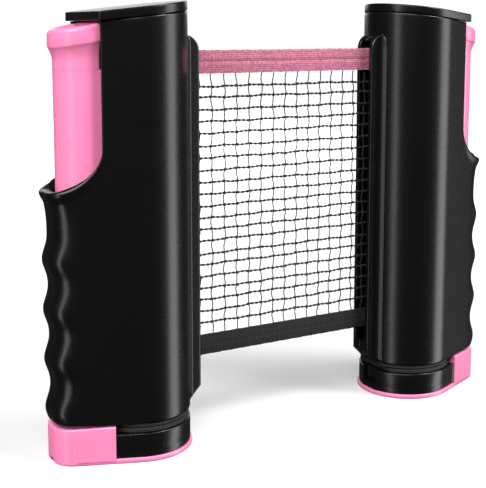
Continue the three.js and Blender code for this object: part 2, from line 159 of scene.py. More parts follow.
class NetPostColours(bpy.types.PropertyGroup):
    """Colours of the finishes."""

    black: colour("Black plastic", "Moulded black housing", "#070708")
    pink: colour("Pink plastic", "Moulded pink slider and foot", "#F988B6")
    rubber: colour("Rubber", "Jaw pads", "#161616")
    tape: colour("Head tape", "Woven pink head tape", "#B4687F")
    foot_tape: colour("Foot tape", "Woven black foot tape", "#0C0C0D")
    thread: colour("Thread", "Black net thread", "#070708")
    steel: colour("Steel", "Zinc plated steel", "#B9BDC2")
    nylon: colour("Nylon", "Natural moulded nylon", "#D8D6CF")
    floor: colour("Floor", "Studio floor", "#D2D2D2")


def sizes():
    return bpy.context.scene.net_post_sizes


def colours():
    return bpy.context.scene.net_post_colours


# ---- meshes from grids ----------------------------------------------------------------------

SHARP_DEGREES = 40.0        # an edge that turns by more than this is shaded as a sharp one


def grid_faces(rows, columns, wrap_rows, wrap_columns):
    """Quads of a grid whose vertices are numbered row by row; a wrapped direction joins its ends."""
    r = np.arange(rows if wrap_rows else rows - 1)
    c = np.arange(columns if wrap_columns else columns - 1)
    a, b = np.meshgrid(r, c, indexing="ij")
    a2, b2 = (a + 1) % rows, (b + 1) % columns
    quads = np.stack([a * columns + b, a * columns + b2, a2 * columns + b2, a2 * columns + b], axis=-1)
    return quads.reshape(-1, 4).tolist()


def loft(grid):
    """A closed solid from a stack of closed outlines: quads round the sides and one face at each end."""
    rows, columns = grid.shape[:2]
    faces = grid_faces(rows, columns, False, True)
    faces.append(list(range(columns)))
    faces.append(list(range((rows - 1) * columns, rows * columns)))
    return grid.reshape(-1, 3), faces


def sheet_solid(grid):
    """A closed solid from a grid whose rows go up the outside and down the inside of a wall.

    Row k on the outside faces row K-1-k on the inside, so a ladder of quads closes each end.
    """
    rows, columns = grid.shape[:2]
    faces = grid_faces(rows, columns, True, False)
    k = np.arange(rows // 2 - 1)
    for column in (0, columns - 1):
        ladder = [k, k + 1, rows - 2 - k, rows - 1 - k]
        faces += np.stack([step * columns + column for step in ladder], axis=-1).tolist()
    return grid.reshape(-1, 3), faces


def joined(parts):
    """Several (vertices, faces) pairs as one pair."""
    vertices, faces, start = [], [], 0
    for points, part_faces in parts:
        vertices.append(points)
        faces += [[start + i for i in face] for face in part_faces]
        start += len(points)
    return np.concatenate(vertices), faces


def mesh_object(name, part, material, sharp=SHARP_DEGREES):
    """An object from vertices in millimetres, with its faces turned outwards and smooth shading."""
    points, faces = part
    mesh = bpy.data.meshes.new(name)
    mesh.from_pydata((points * MM).tolist(), [], faces)
    mesh.validate()
    work = bmesh.new()
    work.from_mesh(mesh)
    bmesh.ops.recalc_face_normals(work, faces=work.faces)
    work.to_mesh(mesh)
    work.free()
    mesh.shade_smooth()
    mesh.set_sharp_from_angle(angle=math.radians(sharp))
    mesh.materials.append(material)
    obj = bpy.data.objects.new(name, mesh)
    bpy.context.scene.collection.objects.link(obj)
    return obj


def placed(part, side):
    """A part in a post's own u, v, z moved to the left (-1) or right (1) post."""
    points, faces = part
    moved = points.copy()
    moved[:, 0] = side * (AXIS_X + points[:, 0])
    return moved, faces


def carve(obj, cutters):
    """Cuts the cutters out of obj by an exact boolean, and removes them."""
    for cutter in cutters:
        modifier = obj.modifiers.new("cut", "BOOLEAN")
        modifier.operation, modifier.solver, modifier.object = "DIFFERENCE", "EXACT", cutter
        bpy.context.view_layer.objects.active = obj
        bpy.ops.object.modifier_apply(modifier=modifier.name)
        bpy.data.objects.remove(cutter)


def add_part(obj, part):
    """Adds more vertices and faces to an object's mesh, with the same material."""
    extra = mesh_object(obj.name + "_extra", part, obj.data.materials[0])
    work = bmesh.new()
    work.from_mesh(obj.data)
    work.from_mesh(extra.data)
    work.to_mesh(obj.data)
    work.free()
    bpy.data.objects.remove(extra)
    obj.data.shade_smooth()
    obj.data.set_sharp_from_angle(angle=math.radians(SHARP_DEGREES))


# ---- outlines -------------------------------------------------------------------------------


def tangent_angle(barrel, corner_u, corner_v, corner_r):
    """Direction of the straight side that touches the barrel circle and the corner circle."""
    distance = math.hypot(corner_u, corner_v)
    return math.atan2(corner_v, corner_u) + math.acos((barrel - corner_r) / distance)


class Plan:
    """Half of the drawn-in outline, from the net side of the barrel round to the middle of the grip end.

    Along its length s it is an arc of the barrel, a straight side that touches both circles,
    an arc of the corner circle and the flat end. Its normal turns with it.
    """

    def __init__(self, barrel, end, corner_v, corner_r):
        self.barrel, self.corner_v, self.corner_r = barrel, corner_v, corner_r
        self.corner_u = end - corner_r
        self.angle = tangent_angle(barrel, self.corner_u, corner_v, corner_r)
        direction = np.array([math.cos(self.angle), math.sin(self.angle)])
        self.side_a = barrel * direction
        self.side_b = np.array([self.corner_u, corner_v]) + corner_r * direction
        lengths = [
            barrel * (math.pi - self.angle),
            float(np.linalg.norm(self.side_b - self.side_a)),
            corner_r * self.angle,
            corner_v,
        ]
        self.stops = np.cumsum([0.0] + lengths)
        self.length = float(self.stops[-1])

    def at(self, s):
        """u, v and the outward normal at the lengths s, on the side where v is positive."""
        s = np.asarray(s, float)
        stops = self.stops
        turn = math.pi - np.clip(s, 0, stops[1]) / self.barrel
        along = np.clip((s - stops[1]) / (stops[2] - stops[1]), 0, 1)[..., None]
        straight = self.side_a + (self.side_b - self.side_a) * along
        bend = self.angle - np.clip(s - stops[2], 0, stops[3] - stops[2]) / self.corner_r
        end_v = self.corner_v - np.clip(s - stops[3], 0, self.corner_v)
        where = [s < stops[1], s < stops[2], s < stops[3]]
        u = np.select(where, [
            self.barrel * np.cos(turn),
            straight[..., 0],
            self.corner_u + self.corner_r * np.cos(bend),
        ], self.corner_u + self.corner_r)
        v = np.select(where, [
            self.barrel * np.sin(turn),
            straight[..., 1],
            self.corner_v + self.corner_r * np.sin(bend),
        ], end_v)
        facing = np.select(where, [turn, np.full_like(s, self.angle), bend], 0.0)
        return u, v, np.cos(facing), np.sin(facing)

    def s_at_u(self, u):
        """The length at which the outline passes u on its straight side or corner."""
        s = np.linspace(self.stops[1] * 0.5, self.stops[3], 4000)
        return float(np.interp(u, self.at(s)[0], s))


def closed_outline(plan, count):
    """The whole outline from its half, as points and normals, without a repeated point."""
    s = np.linspace(0, plan.length, count)
    u, v, nu, nv = plan.at(s)
    lower = np.stack([u, -v], axis=1)
    upper = np.stack([u, v], axis=1)[::-1][1:-1]
    lower_n = np.stack([nu, -nv], axis=1)
    upper_n = np.stack([nu, nv], axis=1)[::-1][1:-1]
    return np.concatenate([lower, upper]), np.concatenate([lower_n, upper_n])


def outline_normals(points):
    """Outward normals of a closed outline: the tangent of its neighbours turned a quarter."""
    tangent = np.roll(points, -1, axis=0) - np.roll(points, 1, axis=0)
    normal = np.stack([tangent[:, 1], -tangent[:, 0]], axis=1)
    normal /= np.maximum(np.linalg.norm(normal, axis=1, keepdims=True), 1e-9)
    x, y = points[:, 0], points[:, 1]
    area = float(np.sum(x * np.roll(y, -1) - y * np.roll(x, -1)))
    return normal if area > 0 else -normal


def quarter(radius, steps):
    """A quarter round as (distance from the edge, inset) pairs, from the side face to the end face."""
    a = np.linspace(0, math.pi / 2, steps)
    return np.stack([radius * (1 - np.sin(a)), radius * (1 - np.cos(a))], axis=1)


def slab(outline, normals, z_low, z_high, round_low, round_high, steps=5):
    """A flat piece: the outline raised from z_low to z_high, with a quarter round at both edges.

    z_low and z_high may be arrays along the outline, so that a face can slope.
    """
    edges = [(z_low + distance, inset) for distance, inset in quarter(round_low, steps)[::-1]]
    edges += [(z_high - distance, inset) for distance, inset in quarter(round_high, steps)]
    return loft(np.stack([
        np.column_stack([outline - normals * inset, np.broadcast_to(z, len(outline))]) for z, inset in edges
    ]))


def smooth(x, low, high):
    """Smooth step from 0 at low to 1 at high."""
    t = np.clip((x - low) / (high - low), 0, 1)
    return t * t * (3 - 2 * t)


# ---- materials ------------------------------------------------------------------------------

HEAD_TAPE_THREAD_MM = 0.9   # width of the threads that show in a tape's weave
FOOT_TAPE_THREAD_MM = 0.7
TWIST_MM = 0.6              # width of the ridges of the thread's twist


def node(tree, kind, links=(), **settings):
    """Adds a node, sets its properties and sockets, and links (socket, source) pairs."""
    made = tree.nodes.new(kind)
    for name, value in settings.items():
        if name.startswith("in_"):
            key = name[3:]
            socket = made.inputs[int(key)] if key.isdigit() else made.inputs[key.replace("_", " ")]
            socket.default_value = value
        else:
            setattr(made, name, value)
    for socket, source in links:
        tree.links.new(source, made.inputs[socket])
    return made


def new_material(name):
    """An empty node material with a principled shader, its tree and Object coordinates."""
    material = bpy.data.materials.new(name)
    material.use_nodes = True
    tree = material.node_tree
    shader = tree.nodes["Principled BSDF"]
    coords = tree.nodes.new("ShaderNodeTexCoord").outputs["Object"]
    return material, tree, shader, coords


def mixed(tree, factor, dark, light):
    """A colour between two colours by a factor output."""
    made = node(tree, "ShaderNodeMix", [("Factor", factor)], data_type="RGBA")
    made.inputs["A"].default_value = (*dark, 1)
    made.inputs["B"].default_value = (*light, 1)
    return made.outputs["Result"]


def ranged(tree, value, low, high, from_low=0.3, from_high=0.7):
    """A value output carried from one range to another."""
    return node(
        tree, "ShaderNodeMapRange", [("Value", value)],
        in_From_Min=from_low, in_From_Max=from_high, in_To_Min=low, in_To_Max=high,
    ).outputs["Result"]


def noise(tree, coords, per_mm, detail=3.0, roughness=0.55):
    """A noise output whose grains are 1 / per_mm millimetres wide."""
    return node(
        tree, "ShaderNodeTexNoise", [("Vector", coords)],
        in_Scale=per_mm / MM, in_Detail=detail, in_Roughness=roughness,
    ).outputs["Fac"]


def wave_scale(band_mm):
    """Scale of a wave texture with bands band_mm wide: a turn takes pi / 10 at scale 1.

    Diagonal bands come out about a seventh wider.
    """
    return math.pi / (10 * band_mm * MM)


def bumped(tree, shader, height, strength, distance_mm):
    """Links a height to the shader's normal through a bump node."""
    bump = node(
        tree, "ShaderNodeBump", [("Height", height)], in_Strength=strength, in_Distance=distance_mm * MM,
    )
    tree.links.new(bump.outputs["Normal"], shader.inputs["Normal"])


def shade(colour_value, factor):
    """A colour made darker or lighter by a factor."""
    return tuple(min(1.0, c * factor) for c in colour_value)


def black_abs():
    """ABS moulded in a spark-eroded tool: near black, satin, with a fine even grain and faint flow marks."""
    material, tree, shader, coords = new_material("abs_black_spark_eroded")
    grain = noise(tree, coords, 2.2, detail=2.0)      # 0.45 mm: the real grain is 0.1 mm, too fine to show
    flow = noise(tree, coords, 0.03, detail=2.0)
    tint = mixed(tree, ranged(tree, flow, 0, 1), shade(colours().black, 0.85), shade(colours().black, 1.2))
    tree.links.new(tint, shader.inputs["Base Color"])
    tree.links.new(ranged(tree, grain, 0.25, 0.31), shader.inputs["Roughness"])
    shader.inputs["IOR"].default_value = 1.5
    bumped(tree, shader, grain, 0.12, 0.03)
    return material


def pink_abs():
    """ABS moulded in a polished tool: clear pink with a soft gloss and faint flow lines."""
    material, tree, shader, coords = new_material("abs_pink_polished")
    flow = noise(tree, coords, 0.05, detail=2.0)
    tint = mixed(tree, ranged(tree, flow, 0, 1), shade(colours().pink, 0.96), shade(colours().pink, 1.03))
    tree.links.new(tint, shader.inputs["Base Color"])
    ripple = noise(tree, coords, 0.35, detail=2.0)
    tree.links.new(ranged(tree, ripple, 0.27, 0.34), shader.inputs["Roughness"])
    shader.inputs["IOR"].default_value = 1.52
    bumped(tree, shader, ripple, 0.05, 0.05)
    return material


def rubber():
    """Pressed nitrile rubber: matt black with a fine stipple that bites on the table."""
    material, tree, shader, coords = new_material("rubber_pressed_stippled")
    stipple = node(
        tree, "ShaderNodeTexVoronoi", [("Vector", coords)], in_Scale=1.2 / MM,
    ).outputs["Distance"]
    dust = noise(tree, coords, 0.2)
    tint = mixed(tree, ranged(tree, dust, 0, 1), colours().rubber, shade(colours().rubber, 1.8))
    tree.links.new(tint, shader.inputs["Base Color"])
    tree.links.new(ranged(tree, dust, 0.72, 0.85), shader.inputs["Roughness"])
    bumped(tree, shader, stipple, 0.5, 0.15)
    return material


def woven(name, base, thread_mm, contrast, sheen):
    """Plain weave of polyester tape: threads over and under at thread_mm, fuzzy and speckled."""
    material, tree, shader, coords = new_material(name)
    waves = []
    for direction in ("X", "Z"):
        waves.append(node(
            tree, "ShaderNodeTexWave", [("Vector", coords)], bands_direction=direction,
            in_Scale=wave_scale(thread_mm), in_Distortion=1.2, in_Detail=1.0,
        ).outputs["Fac"])
    weave = node(tree, "ShaderNodeMath", [(0, waves[0]), (1, waves[1])], operation="MULTIPLY")
    speckle = noise(tree, coords, 0.9 / thread_mm, detail=4.0, roughness=0.7)
    height = node(tree, "ShaderNodeMath", [(0, weave.outputs[0]), (1, speckle)], operation="ADD")
    tint = mixed(
        tree, ranged(tree, speckle, 0, 1, 0.36, 0.64),
        shade(base, 1 - contrast), shade(base, 1 + contrast),
    )
    tree.links.new(tint, shader.inputs["Base Color"])
    tree.links.new(ranged(tree, weave.outputs[0], 0.8, 0.95, 0.0, 1.0), shader.inputs["Roughness"])
    shader.inputs["Sheen Weight"].default_value = sheen
    shader.inputs["Sheen Roughness"].default_value = 0.5
    bumped(tree, shader, height.outputs[0], 0.6, 0.25)
    return material


def thread_material():
    """Twisted polyester thread: black, dull, with the twist showing as fine slanting ridges."""
    material, tree, shader, coords = new_material("polyester_thread_twisted")
    twist = node(
        tree, "ShaderNodeTexWave", [("Vector", coords)], bands_direction="DIAGONAL",
        in_Scale=wave_scale(TWIST_MM), in_Distortion=2.0,
    ).outputs["Fac"]
    fuzz = noise(tree, coords, 1.5)
    tint = mixed(tree, ranged(tree, fuzz, 0, 1), colours().thread, shade(colours().thread, 2.2))
    tree.links.new(tint, shader.inputs["Base Color"])
    tree.links.new(ranged(tree, twist, 0.65, 0.85, 0.0, 1.0), shader.inputs["Roughness"])
    shader.inputs["Sheen Weight"].default_value = 0.1
    bumped(tree, shader, twist, 0.5, 0.1)
    return material


def zinc_steel():
    """Steel, drawn or headed and zinc plated: bright grey with fine drawn scratches."""
    material, tree, shader, coords = new_material("steel_zinc_plated")
    stretch = node(tree, "ShaderNodeMapping", [("Vector", coords)], in_Scale=(1, 1, 0.1))
    scratch = noise(tree, stretch.outputs["Vector"], 2.0, detail=4.0)
    tint = mixed(tree, ranged(tree, scratch, 0, 1), shade(colours().steel, 0.85), colours().steel)
    tree.links.new(tint, shader.inputs["Base Color"])
    tree.links.new(ranged(tree, scratch, 0.24, 0.38), shader.inputs["Roughness"])
    shader.inputs["Metallic"].default_value = 1.0
    bumped(tree, shader, scratch, 0.08, 0.02)
    return material


def nylon():
    """Natural nylon, moulded: milky white and slightly waxy."""
    material, tree, shader, coords = new_material("nylon_natural_moulded")
    cloud = noise(tree, coords, 0.15)
    tint = mixed(tree, ranged(tree, cloud, 0, 1), shade(colours().nylon, 0.92), colours().nylon)
    tree.links.new(tint, shader.inputs["Base Color"])
    tree.links.new(ranged(tree, cloud, 0.42, 0.52), shader.inputs["Roughness"])
    shader.inputs["Subsurface Weight"].default_value = 0.1
    shader.inputs["Subsurface Scale"].default_value = 1.0 * MM
    bumped(tree, shader, cloud, 0.04, 0.05)
    return material


FINISHES = {}


def finish(name):
    """A finish by its record slot, made once."""
    makers = {
        "black_abs": black_abs,
        "pink_abs": pink_abs,
        "rubber_pad": rubber,
        "steel": zinc_steel,
        "white_nylon": nylon,
        "net_thread": thread_material,
        "tape_pink": lambda: woven("tape_pink_plain_weave", colours().tape, HEAD_TAPE_THREAD_MM, 0.35, 0.1),
        "tape_black": lambda: woven(
            "tape_black_plain_weave", colours().foot_tape, FOOT_TAPE_THREAD_MM, 0.3, 0.02,
        ),
    }
    if name not in FINISHES:
        FINISHES[name] = makers[name]()
    return FINISHES[name]


def settle(obj, slot, body, *nodes):
    """Hides the CAD nodes that the piece replaces and parents it to the body it rides on. The slot is not used."""
    if nodes:
        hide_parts(*nodes)
    if body:
        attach(obj, body)


# ---- housing --------------------------------------------------------------------------------

SEAM = 0.15                 # half of the joint line between the two shells
EDGE = 0.5                  # quarter round on the housing's edges
RIM_STEPS = 5
LIP_BEAD = 0.7              # how far the collar's rim swells outwards
SHELL_ROWS = 130
SHELL_COLUMNS = 118
SLOT_Z = (27.0, 170.4)
CREST_IN = 0.3              # how far the crests between the grooves stay inside the grip's end
FINGER_PITCHES = 3.5        # from the lowest crest to the valley under the flare
SHOULDER = 0.09             # how much the flanks of a crest are drawn in
FLARE_POWER = 2.6           # how late the flare towards the lip sets in
GRIP_DRAWN = (29.5, 38.5)   # the grooves fade in between these distances from the reel axis
WALL_GROWS = (9.0, 1.0)     # distances from the grip's end between which the wall grows to its outer size
OUTER_WALL_EXTRA = 1.0
LID_GAP = 0.3               # between the shell's upper edge and the lid
COLLAR_START = (0.6, 8.0)   # first handle of the collar's curve: outwards from the notch, and above the lip
COLLAR_END = (29.0, 3.0)    # second handle: its distance from the reel axis, and above the lip
NET_SIDE_SHARE = 0.42       # share of a shell's columns that lie under the lid
SLOT_FADE = 14.0            # the outline is moved off the slot over this length
SEAM_FADE = 4.0
FOOT_RISE = 0.4             # how much higher the housing's foot is at the outer end
FOOT_ROUND = (0.7, 0.3)     # round of its lower edge, and how much it grows outwards
RIM_EXTRA = 1.1             # added to the rim's round along the collar
BEAD_FADE = (1.8, 5.5)      # the collar's bead fades between these distances from the rim
SLOT_EDGE = 0.4             # height over which the slot opens


def grip_u(z):
    """How far out the grip reaches at height z: a cosine wave of finger grooves that flares to the lip."""
    p = sizes()
    valley_z = p.finger_z + p.finger_pitch * FINGER_PITCHES
    middle = p.grip_end - CREST_IN - p.finger_depth / 2
    phase = 2 * math.pi * (np.minimum(z, valley_z) - p.finger_z) / p.finger_pitch
    wave = middle + p.finger_depth / 2 * (np.cos(phase) - SHOULDER * (1 - np.cos(2 * phase)))
    rise = np.clip((z - valley_z) / (p.lip_z - valley_z), 0, 1)
    return wave + (p.grip_end - middle + p.finger_depth / 2) * rise ** FLARE_POWER


def shell_plan():
    """The housing's outline at a crest of the grip."""
    p = sizes()
    return Plan(p.barrel_r, p.grip_end, p.corner_v, p.corner_r)


def wall_at(u):
    """Thickness of the housing's wall, which grows towards the outer end."""
    p = sizes()
    grown = smooth(u, p.grip_end - WALL_GROWS[0], p.grip_end - WALL_GROWS[1])
    return p.wall + (p.lip_wall + OUTER_WALL_EXTRA - p.wall) * grown


def shell_surface(plan, s, z, inward, swell):
    """A point of the housing's wall at outline length s and height z.

    The outside is the outline, whose outer end is drawn in by (end - grip_u(z)) times a smooth step in
    u, plus the swell along the normal. The inside is the outline less the wall. inward goes from 0
    outside to 1 inside.
    """
    p = sizes()
    u, v, nu, nv = plan.at(s)
    outer_u = u - (p.grip_end - grip_u(z)) * smooth(u, *GRIP_DRAWN) + nu * swell
    outer_v = v + nv * swell
    inner_u = u - nu * wall_at(u)
    inner_v = np.maximum(v - nv * wall_at(u), 0)
    return np.stack([
        outer_u + (inner_u - outer_u) * inward,
        outer_v + (inner_v - outer_v) * inward,
        np.broadcast_to(z, u.shape),
    ], axis=-1)


def lid_underside(u):
    """Height of the lid's underside, which falls in a straight line along u."""
    p = sizes()
    return p.lid_z - p.lid_slope * u


def bezier(points, t):
    """Cubic curve through the first and last of four points, drawn towards the middle two."""
    a, b, c, d = (np.array(q, float) for q in points)
    t = t[:, None]
    return (1 - t) ** 3 * a + 3 * (1 - t) ** 2 * t * b + 3 * (1 - t) * t ** 2 * c + t ** 3 * d


def shell_top_edge(plan, columns):
    """The upper edge of a shell in (s, z), and the direction into the wall from it.

    It runs along the lid, down the notch in a straight line, and round the collar to the lip in a cubic
    curve, with the stations evenly spaced on each side of the corner at the lid.
    """
    p = sizes()
    s_notch = plan.s_at_u(p.notch_u)
    lid_s = np.linspace(0, s_notch, 200)
    lid_line = np.column_stack([lid_s, lid_underside(plan.at(lid_s)[0]) - LID_GAP])
    drop = np.linspace(lid_line[-1, 1], p.collar_z, 120)[1:]
    notch = np.column_stack([np.full(len(drop), s_notch), drop])
    curve = bezier([
        (p.notch_u, p.collar_z),
        (p.notch_u + COLLAR_START[0], p.lip_z + COLLAR_START[1]),
        (COLLAR_END[0], p.lip_z + COLLAR_END[1]),
        (p.grip_end, p.lip_z),
    ], np.linspace(0, 1, 200)[1:])
    s_all = np.linspace(plan.stops[1] * 0.5, plan.length, 3000)
    u_all = np.minimum(plan.at(s_all)[0], p.grip_end + 0.99)
    rim_s = np.interp(curve[:, 0], u_all, s_all)
    end_s = np.linspace(rim_s[-1], plan.length, 30)[1:]
    rim = np.column_stack([rim_s, curve[:, 1]])
    end = np.column_stack([end_s, np.full(len(end_s), p.lip_z)])
    path = np.concatenate([lid_line, notch, rim, end])
    length = np.concatenate([[0], np.cumsum(np.linalg.norm(np.diff(path, axis=0), axis=1))])
    corner = length[len(lid_line) - 1]
    first = int(columns * NET_SIDE_SHARE)
    stations = np.concatenate([
        np.linspace(0, corner, first),
        np.linspace(corner, length[-1], columns - first + 1)[1:],
    ])
    edge = np.column_stack([np.interp(stations, length, path[:, k]) for k in (0, 1)])
    tangent = np.gradient(edge, axis=0)
    tangent /= np.linalg.norm(tangent, axis=1, keepdims=True)
    inward = np.column_stack([tangent[:, 1], -tangent[:, 0]])
    inward[0] = inward[1] = (0, -1)
    inward[-1] = inward[-2] = (0, -1)
    return edge, inward


def shell_half(sign):
    """One housing shell as a closed wall: up the outside, over the rounded rim, down the inside."""
    p = sizes()
    plan = shell_plan()
    edge, inward = shell_top_edge(plan, SHELL_COLUMNS)
    base_s = np.linspace(0, 1, SHELL_COLUMNS) * plan.length
    foot_u = plan.at(base_s)[0]
    foot_z = p.housing_z + FOOT_RISE * smooth(foot_u, 20, p.grip_end)
    foot_round = FOOT_ROUND[0] + FOOT_ROUND[1] * smooth(foot_u, 18, p.grip_end)
    wall = wall_at(foot_u)
    edge_u = plan.at(edge[:, 0])[0]
    edge_wall = wall_at(edge_u)
    on_collar = smooth(edge_u, p.notch_u + 1, 34) * (edge[:, 1] < p.collar_z)
    rim_round = (EDGE + RIM_EXTRA * on_collar)[:, None]
    rows = []

    def row(point, share):
        s, z = point[:, 0], point[:, 1]
        above_foot = smooth(z, SLOT_Z[0] - SLOT_EDGE, SLOT_Z[0])
        below_top = 1 - smooth(z, SLOT_Z[1], SLOT_Z[1] + SLOT_EDGE)
        shift = SEAM + (p.slot_v - SEAM) * above_foot * below_top
        s = (s + shift * np.clip(1 - s / SLOT_FADE, 0, 1)
             - SEAM * np.clip(1 - (plan.length - s) / SEAM_FADE, 0, 1))
        away = np.linalg.norm(edge - point, axis=1)
        bead = LIP_BEAD * on_collar * (1 - smooth(away, *BEAD_FADE))
        rows.append(shell_surface(plan, s, z, share, bead))

    t = np.linspace(0, 1, SHELL_ROWS)
    quarter_share = quarter(1.0, RIM_STEPS)
    for d, inset in quarter_share[::-1]:
        row(np.column_stack([base_s, foot_z + foot_round * d]), foot_round * inset / wall)
    low = np.column_stack([base_s, foot_z + foot_round])
    high = edge + inward * rim_round
    for step in t[1:-1]:
        row(low + (high - low) * step, np.zeros(SHELL_COLUMNS))
    for d, inset in quarter_share:
        row(edge + inward * (rim_round * d), rim_round[:, 0] * inset / edge_wall)
    for d, inset in quarter_share[::-1]:
        row(edge + inward * (rim_round * d), 1 - rim_round[:, 0] * inset / edge_wall)
    for step in t[1:-1][::-1]:
        row(low + (high - low) * step, np.ones(SHELL_COLUMNS))
    for d, inset in quarter_share:
        row(np.column_stack([base_s, foot_z + foot_round * d]), 1 - foot_round * inset / wall)
    grid = np.stack(rows)
    grid[..., 1] *= sign
    return sheet_solid(grid)


LIP_Z = (17.6, 173.4)
LIP_ARCH = 6.5              # height of the quarter round over a lip
LIP_CHAMFER = 4.5
LIP_ROOT = -20.6            # where a lip meets the barrel
LIP_NOSE = 1.1              # rounds of a lip's outer and inner front edge
LIP_INNER_NOSE = 0.7
LIP_FILLET = (2.6, 2.4)     # how far the fillet at a lip's root runs along u and out along v
LIP_CROWN = 6.0             # the fillet dies out over this height below the lip's top
SLOT_LEVELS = np.array([-0.25, 0.0, 0.1, 0.25])     # levels close to the slot's end, which keep it crisp


def mouth_lip(sign):
    """One lip beside the net slot, rounded at the front, arched on top and chamfered below.

    Each level is a closed outline in (u, v). Its reach is cut back by a quarter circle for the arch and
    by a straight slope for the chamfer, and its root runs into the barrel in a power curve.
    """
    p = sizes()
    low, high = LIP_Z
    arch, chamfer = LIP_ARCH, LIP_CHAMFER
    root = LIP_ROOT
    z = np.concatenate([
        low + np.linspace(0, chamfer, 10),
        np.linspace(low + chamfer, SLOT_Z[0], 6)[1:-1],
        SLOT_Z[0] + SLOT_LEVELS,
        np.linspace(SLOT_Z[0] + 1, high - arch, 40),
        high - arch + arch * np.sin(np.linspace(0, math.pi / 2, 16))[1:],
    ])
    z = np.sort(np.unique(np.concatenate([z, SLOT_Z[1] + SLOT_LEVELS])))
    fall = np.clip(z - (high - arch), 0, arch)
    cut = np.clip(low + chamfer - z, 0, chamfer) + arch - np.sqrt(np.maximum(arch ** 2 - fall ** 2, 0))
    reach = p.mouth_u - cut
    inside = SEAM + (p.slot_v - SEAM) * smooth(z, SLOT_Z[0] - 0.2, SLOT_Z[0] + 0.2) * (
        1 - smooth(z, SLOT_Z[1] - 0.2, SLOT_Z[1] + 0.2))
    rows = []
    a = np.linspace(0, math.pi / 2, 7)
    for level, out, v_in in zip(z, reach, inside):
        out = max(out, -root - 0.6)
        space = max(min(1.0, (out + root) / 3.0), 0.05)
        r_out = LIP_NOSE * space
        r_in = min(LIP_INNER_NOSE, 0.3 * (p.mouth_v - v_in)) * space
        flare = np.linspace(0, 1, 8)
        fillet_u = root - 0.1 - flare ** 0.8 * LIP_FILLET[0] * space
        crown = math.sqrt(min(1.0, max(high - level, 0.05) / LIP_CROWN))
        fillet_v = p.mouth_v + LIP_FILLET[1] * crown * (1 - flare) ** 2.2
        ring = np.concatenate([
            np.column_stack([fillet_u, fillet_v]),
            np.column_stack([-out + r_out - r_out * np.sin(a), p.mouth_v - r_out + r_out * np.cos(a)]),
            np.column_stack([-out + r_in - r_in * np.cos(a), v_in + r_in - r_in * np.sin(a)]),
            [[root + 0.1, v_in]],
        ])
        rows.append(np.column_stack([ring, np.full(len(ring), level)]))
    grid = np.stack(rows)
    grid[..., 1] *= sign
    return loft(grid)


PARTITION = (17.9, 19.4)    # wall between the reel and the slider
SHELF_Z = (38.0, 40.0)
SHELF_R = 5.0
SPRING_U = 27.0
SHELF_OVERLAP = 0.5         # how far the shelf reaches into the partition


def inner_walls(sign):
    """Half of the partition between reel and slider, and half of the shelf under the clamp spring.

    The partition is a flat wall. The shelf is a tongue whose end is a quarter circle round the spring.
    """
    p = sizes()
    plan = shell_plan()
    reach = float(plan.at(plan.s_at_u(sum(PARTITION) / 2))[1]) - p.wall / 2
    wall = np.array([(u, v) for u, v in zip(PARTITION + PARTITION[::-1], (SEAM, SEAM, reach, reach))])
    turn = np.linspace(0.03, math.pi / 2, 14)
    nose = np.column_stack([SPRING_U + SHELF_R * np.cos(turn), SHELF_R * np.sin(turn)])
    back = PARTITION[1] - SHELF_OVERLAP
    tongue = np.concatenate([[(back, SEAM)], nose, [(back, SHELF_R)]])
    parts = []
    for outline, levels in ((wall, (p.housing_z + 1, lid_underside(PARTITION[1]) - 0.6)), (tongue, SHELF_Z)):
        grid = np.stack([np.column_stack([outline, np.full(len(outline), z)]) for z in levels])
        grid[..., 1] *= sign
        parts.append(loft(grid))
    return joined(parts)


WELL_R = (2.5, 3.3)         # inside and outside of the tube round a screw head
WELL_V = (13.8, 17.2)       # its ends, from the net plane
WELL_CUT_V = (12.0, 24.0)
WELL_SIDES = 32


def screw_rings(radii, across):
    """For each shell screw, circles round its axis, each with its radius and its distance across the net."""
    angle = np.linspace(0, 2 * math.pi, WELL_SIDES, endpoint=False)
    for screw in (1, 2, 3):
        low, high = box_mm(f"right_shell_screw_{screw}")
        centre_u, centre_z = (low[0] + high[0]) / 2 - AXIS_X, (low[2] + high[2]) / 2
        yield np.stack([
            np.column_stack([
                centre_u + r * np.cos(angle), np.full(WELL_SIDES, v), centre_z + r * np.sin(angle),
            ]) for r, v in zip(radii, across)
        ])


def screw_wells():
    """Short tubes round the screw heads, where the rear shell is counterbored."""
    inside, outside = WELL_R
    rings = screw_rings((outside, outside, inside, inside), WELL_V + WELL_V[::-1])
    return joined([(grid.reshape(-1, 3), grid_faces(4, WELL_SIDES, True, True)) for grid in rings])


def screw_cutters(side):
    """Cylinders that open the rear shell over the screws."""
    rings = screw_rings((WELL_R[0], WELL_R[0]), WELL_CUT_V)
    return [
        mesh_object(f"cutter_{index}", placed(loft(grid), side), finish("black_abs"))
        for index, grid in enumerate(rings)
    ]


class NETPOST_OT_shells(bpy.types.Operator):
    """Front and rear shells of both posts, with the lips of the net slot"""

    bl_idname = "netpost.shells"
    bl_label = "Housing shells"

    def execute(self, context):
        for word, side in SIDES:
            for half, sign in (("front", -1), ("rear", 1)):
                name = f"{word}_{half}_housing_shell"
                obj = mesh_object(name, placed(shell_half(sign), side), finish("black_abs"))
                if half == "rear":
                    carve(obj, screw_cutters(side))
                    add_part(obj, placed(screw_wells(), side))
                add_part(obj, placed(mouth_lip(sign), side))
                add_part(obj, placed(inner_walls(sign), side))
                settle(obj, "black_abs", f"{word}_housing", f"{word}_{half}_shell")
        return {"FINISHED"}


LID_END = 22.8              # the lid's flat outer end, from the reel axis
LID_END_V = 17.7            # half the width of that end
LID_CORNER = 1.0
LID_ROUNDS = (0.3, 0.55)    # rounds of its lower and upper edge


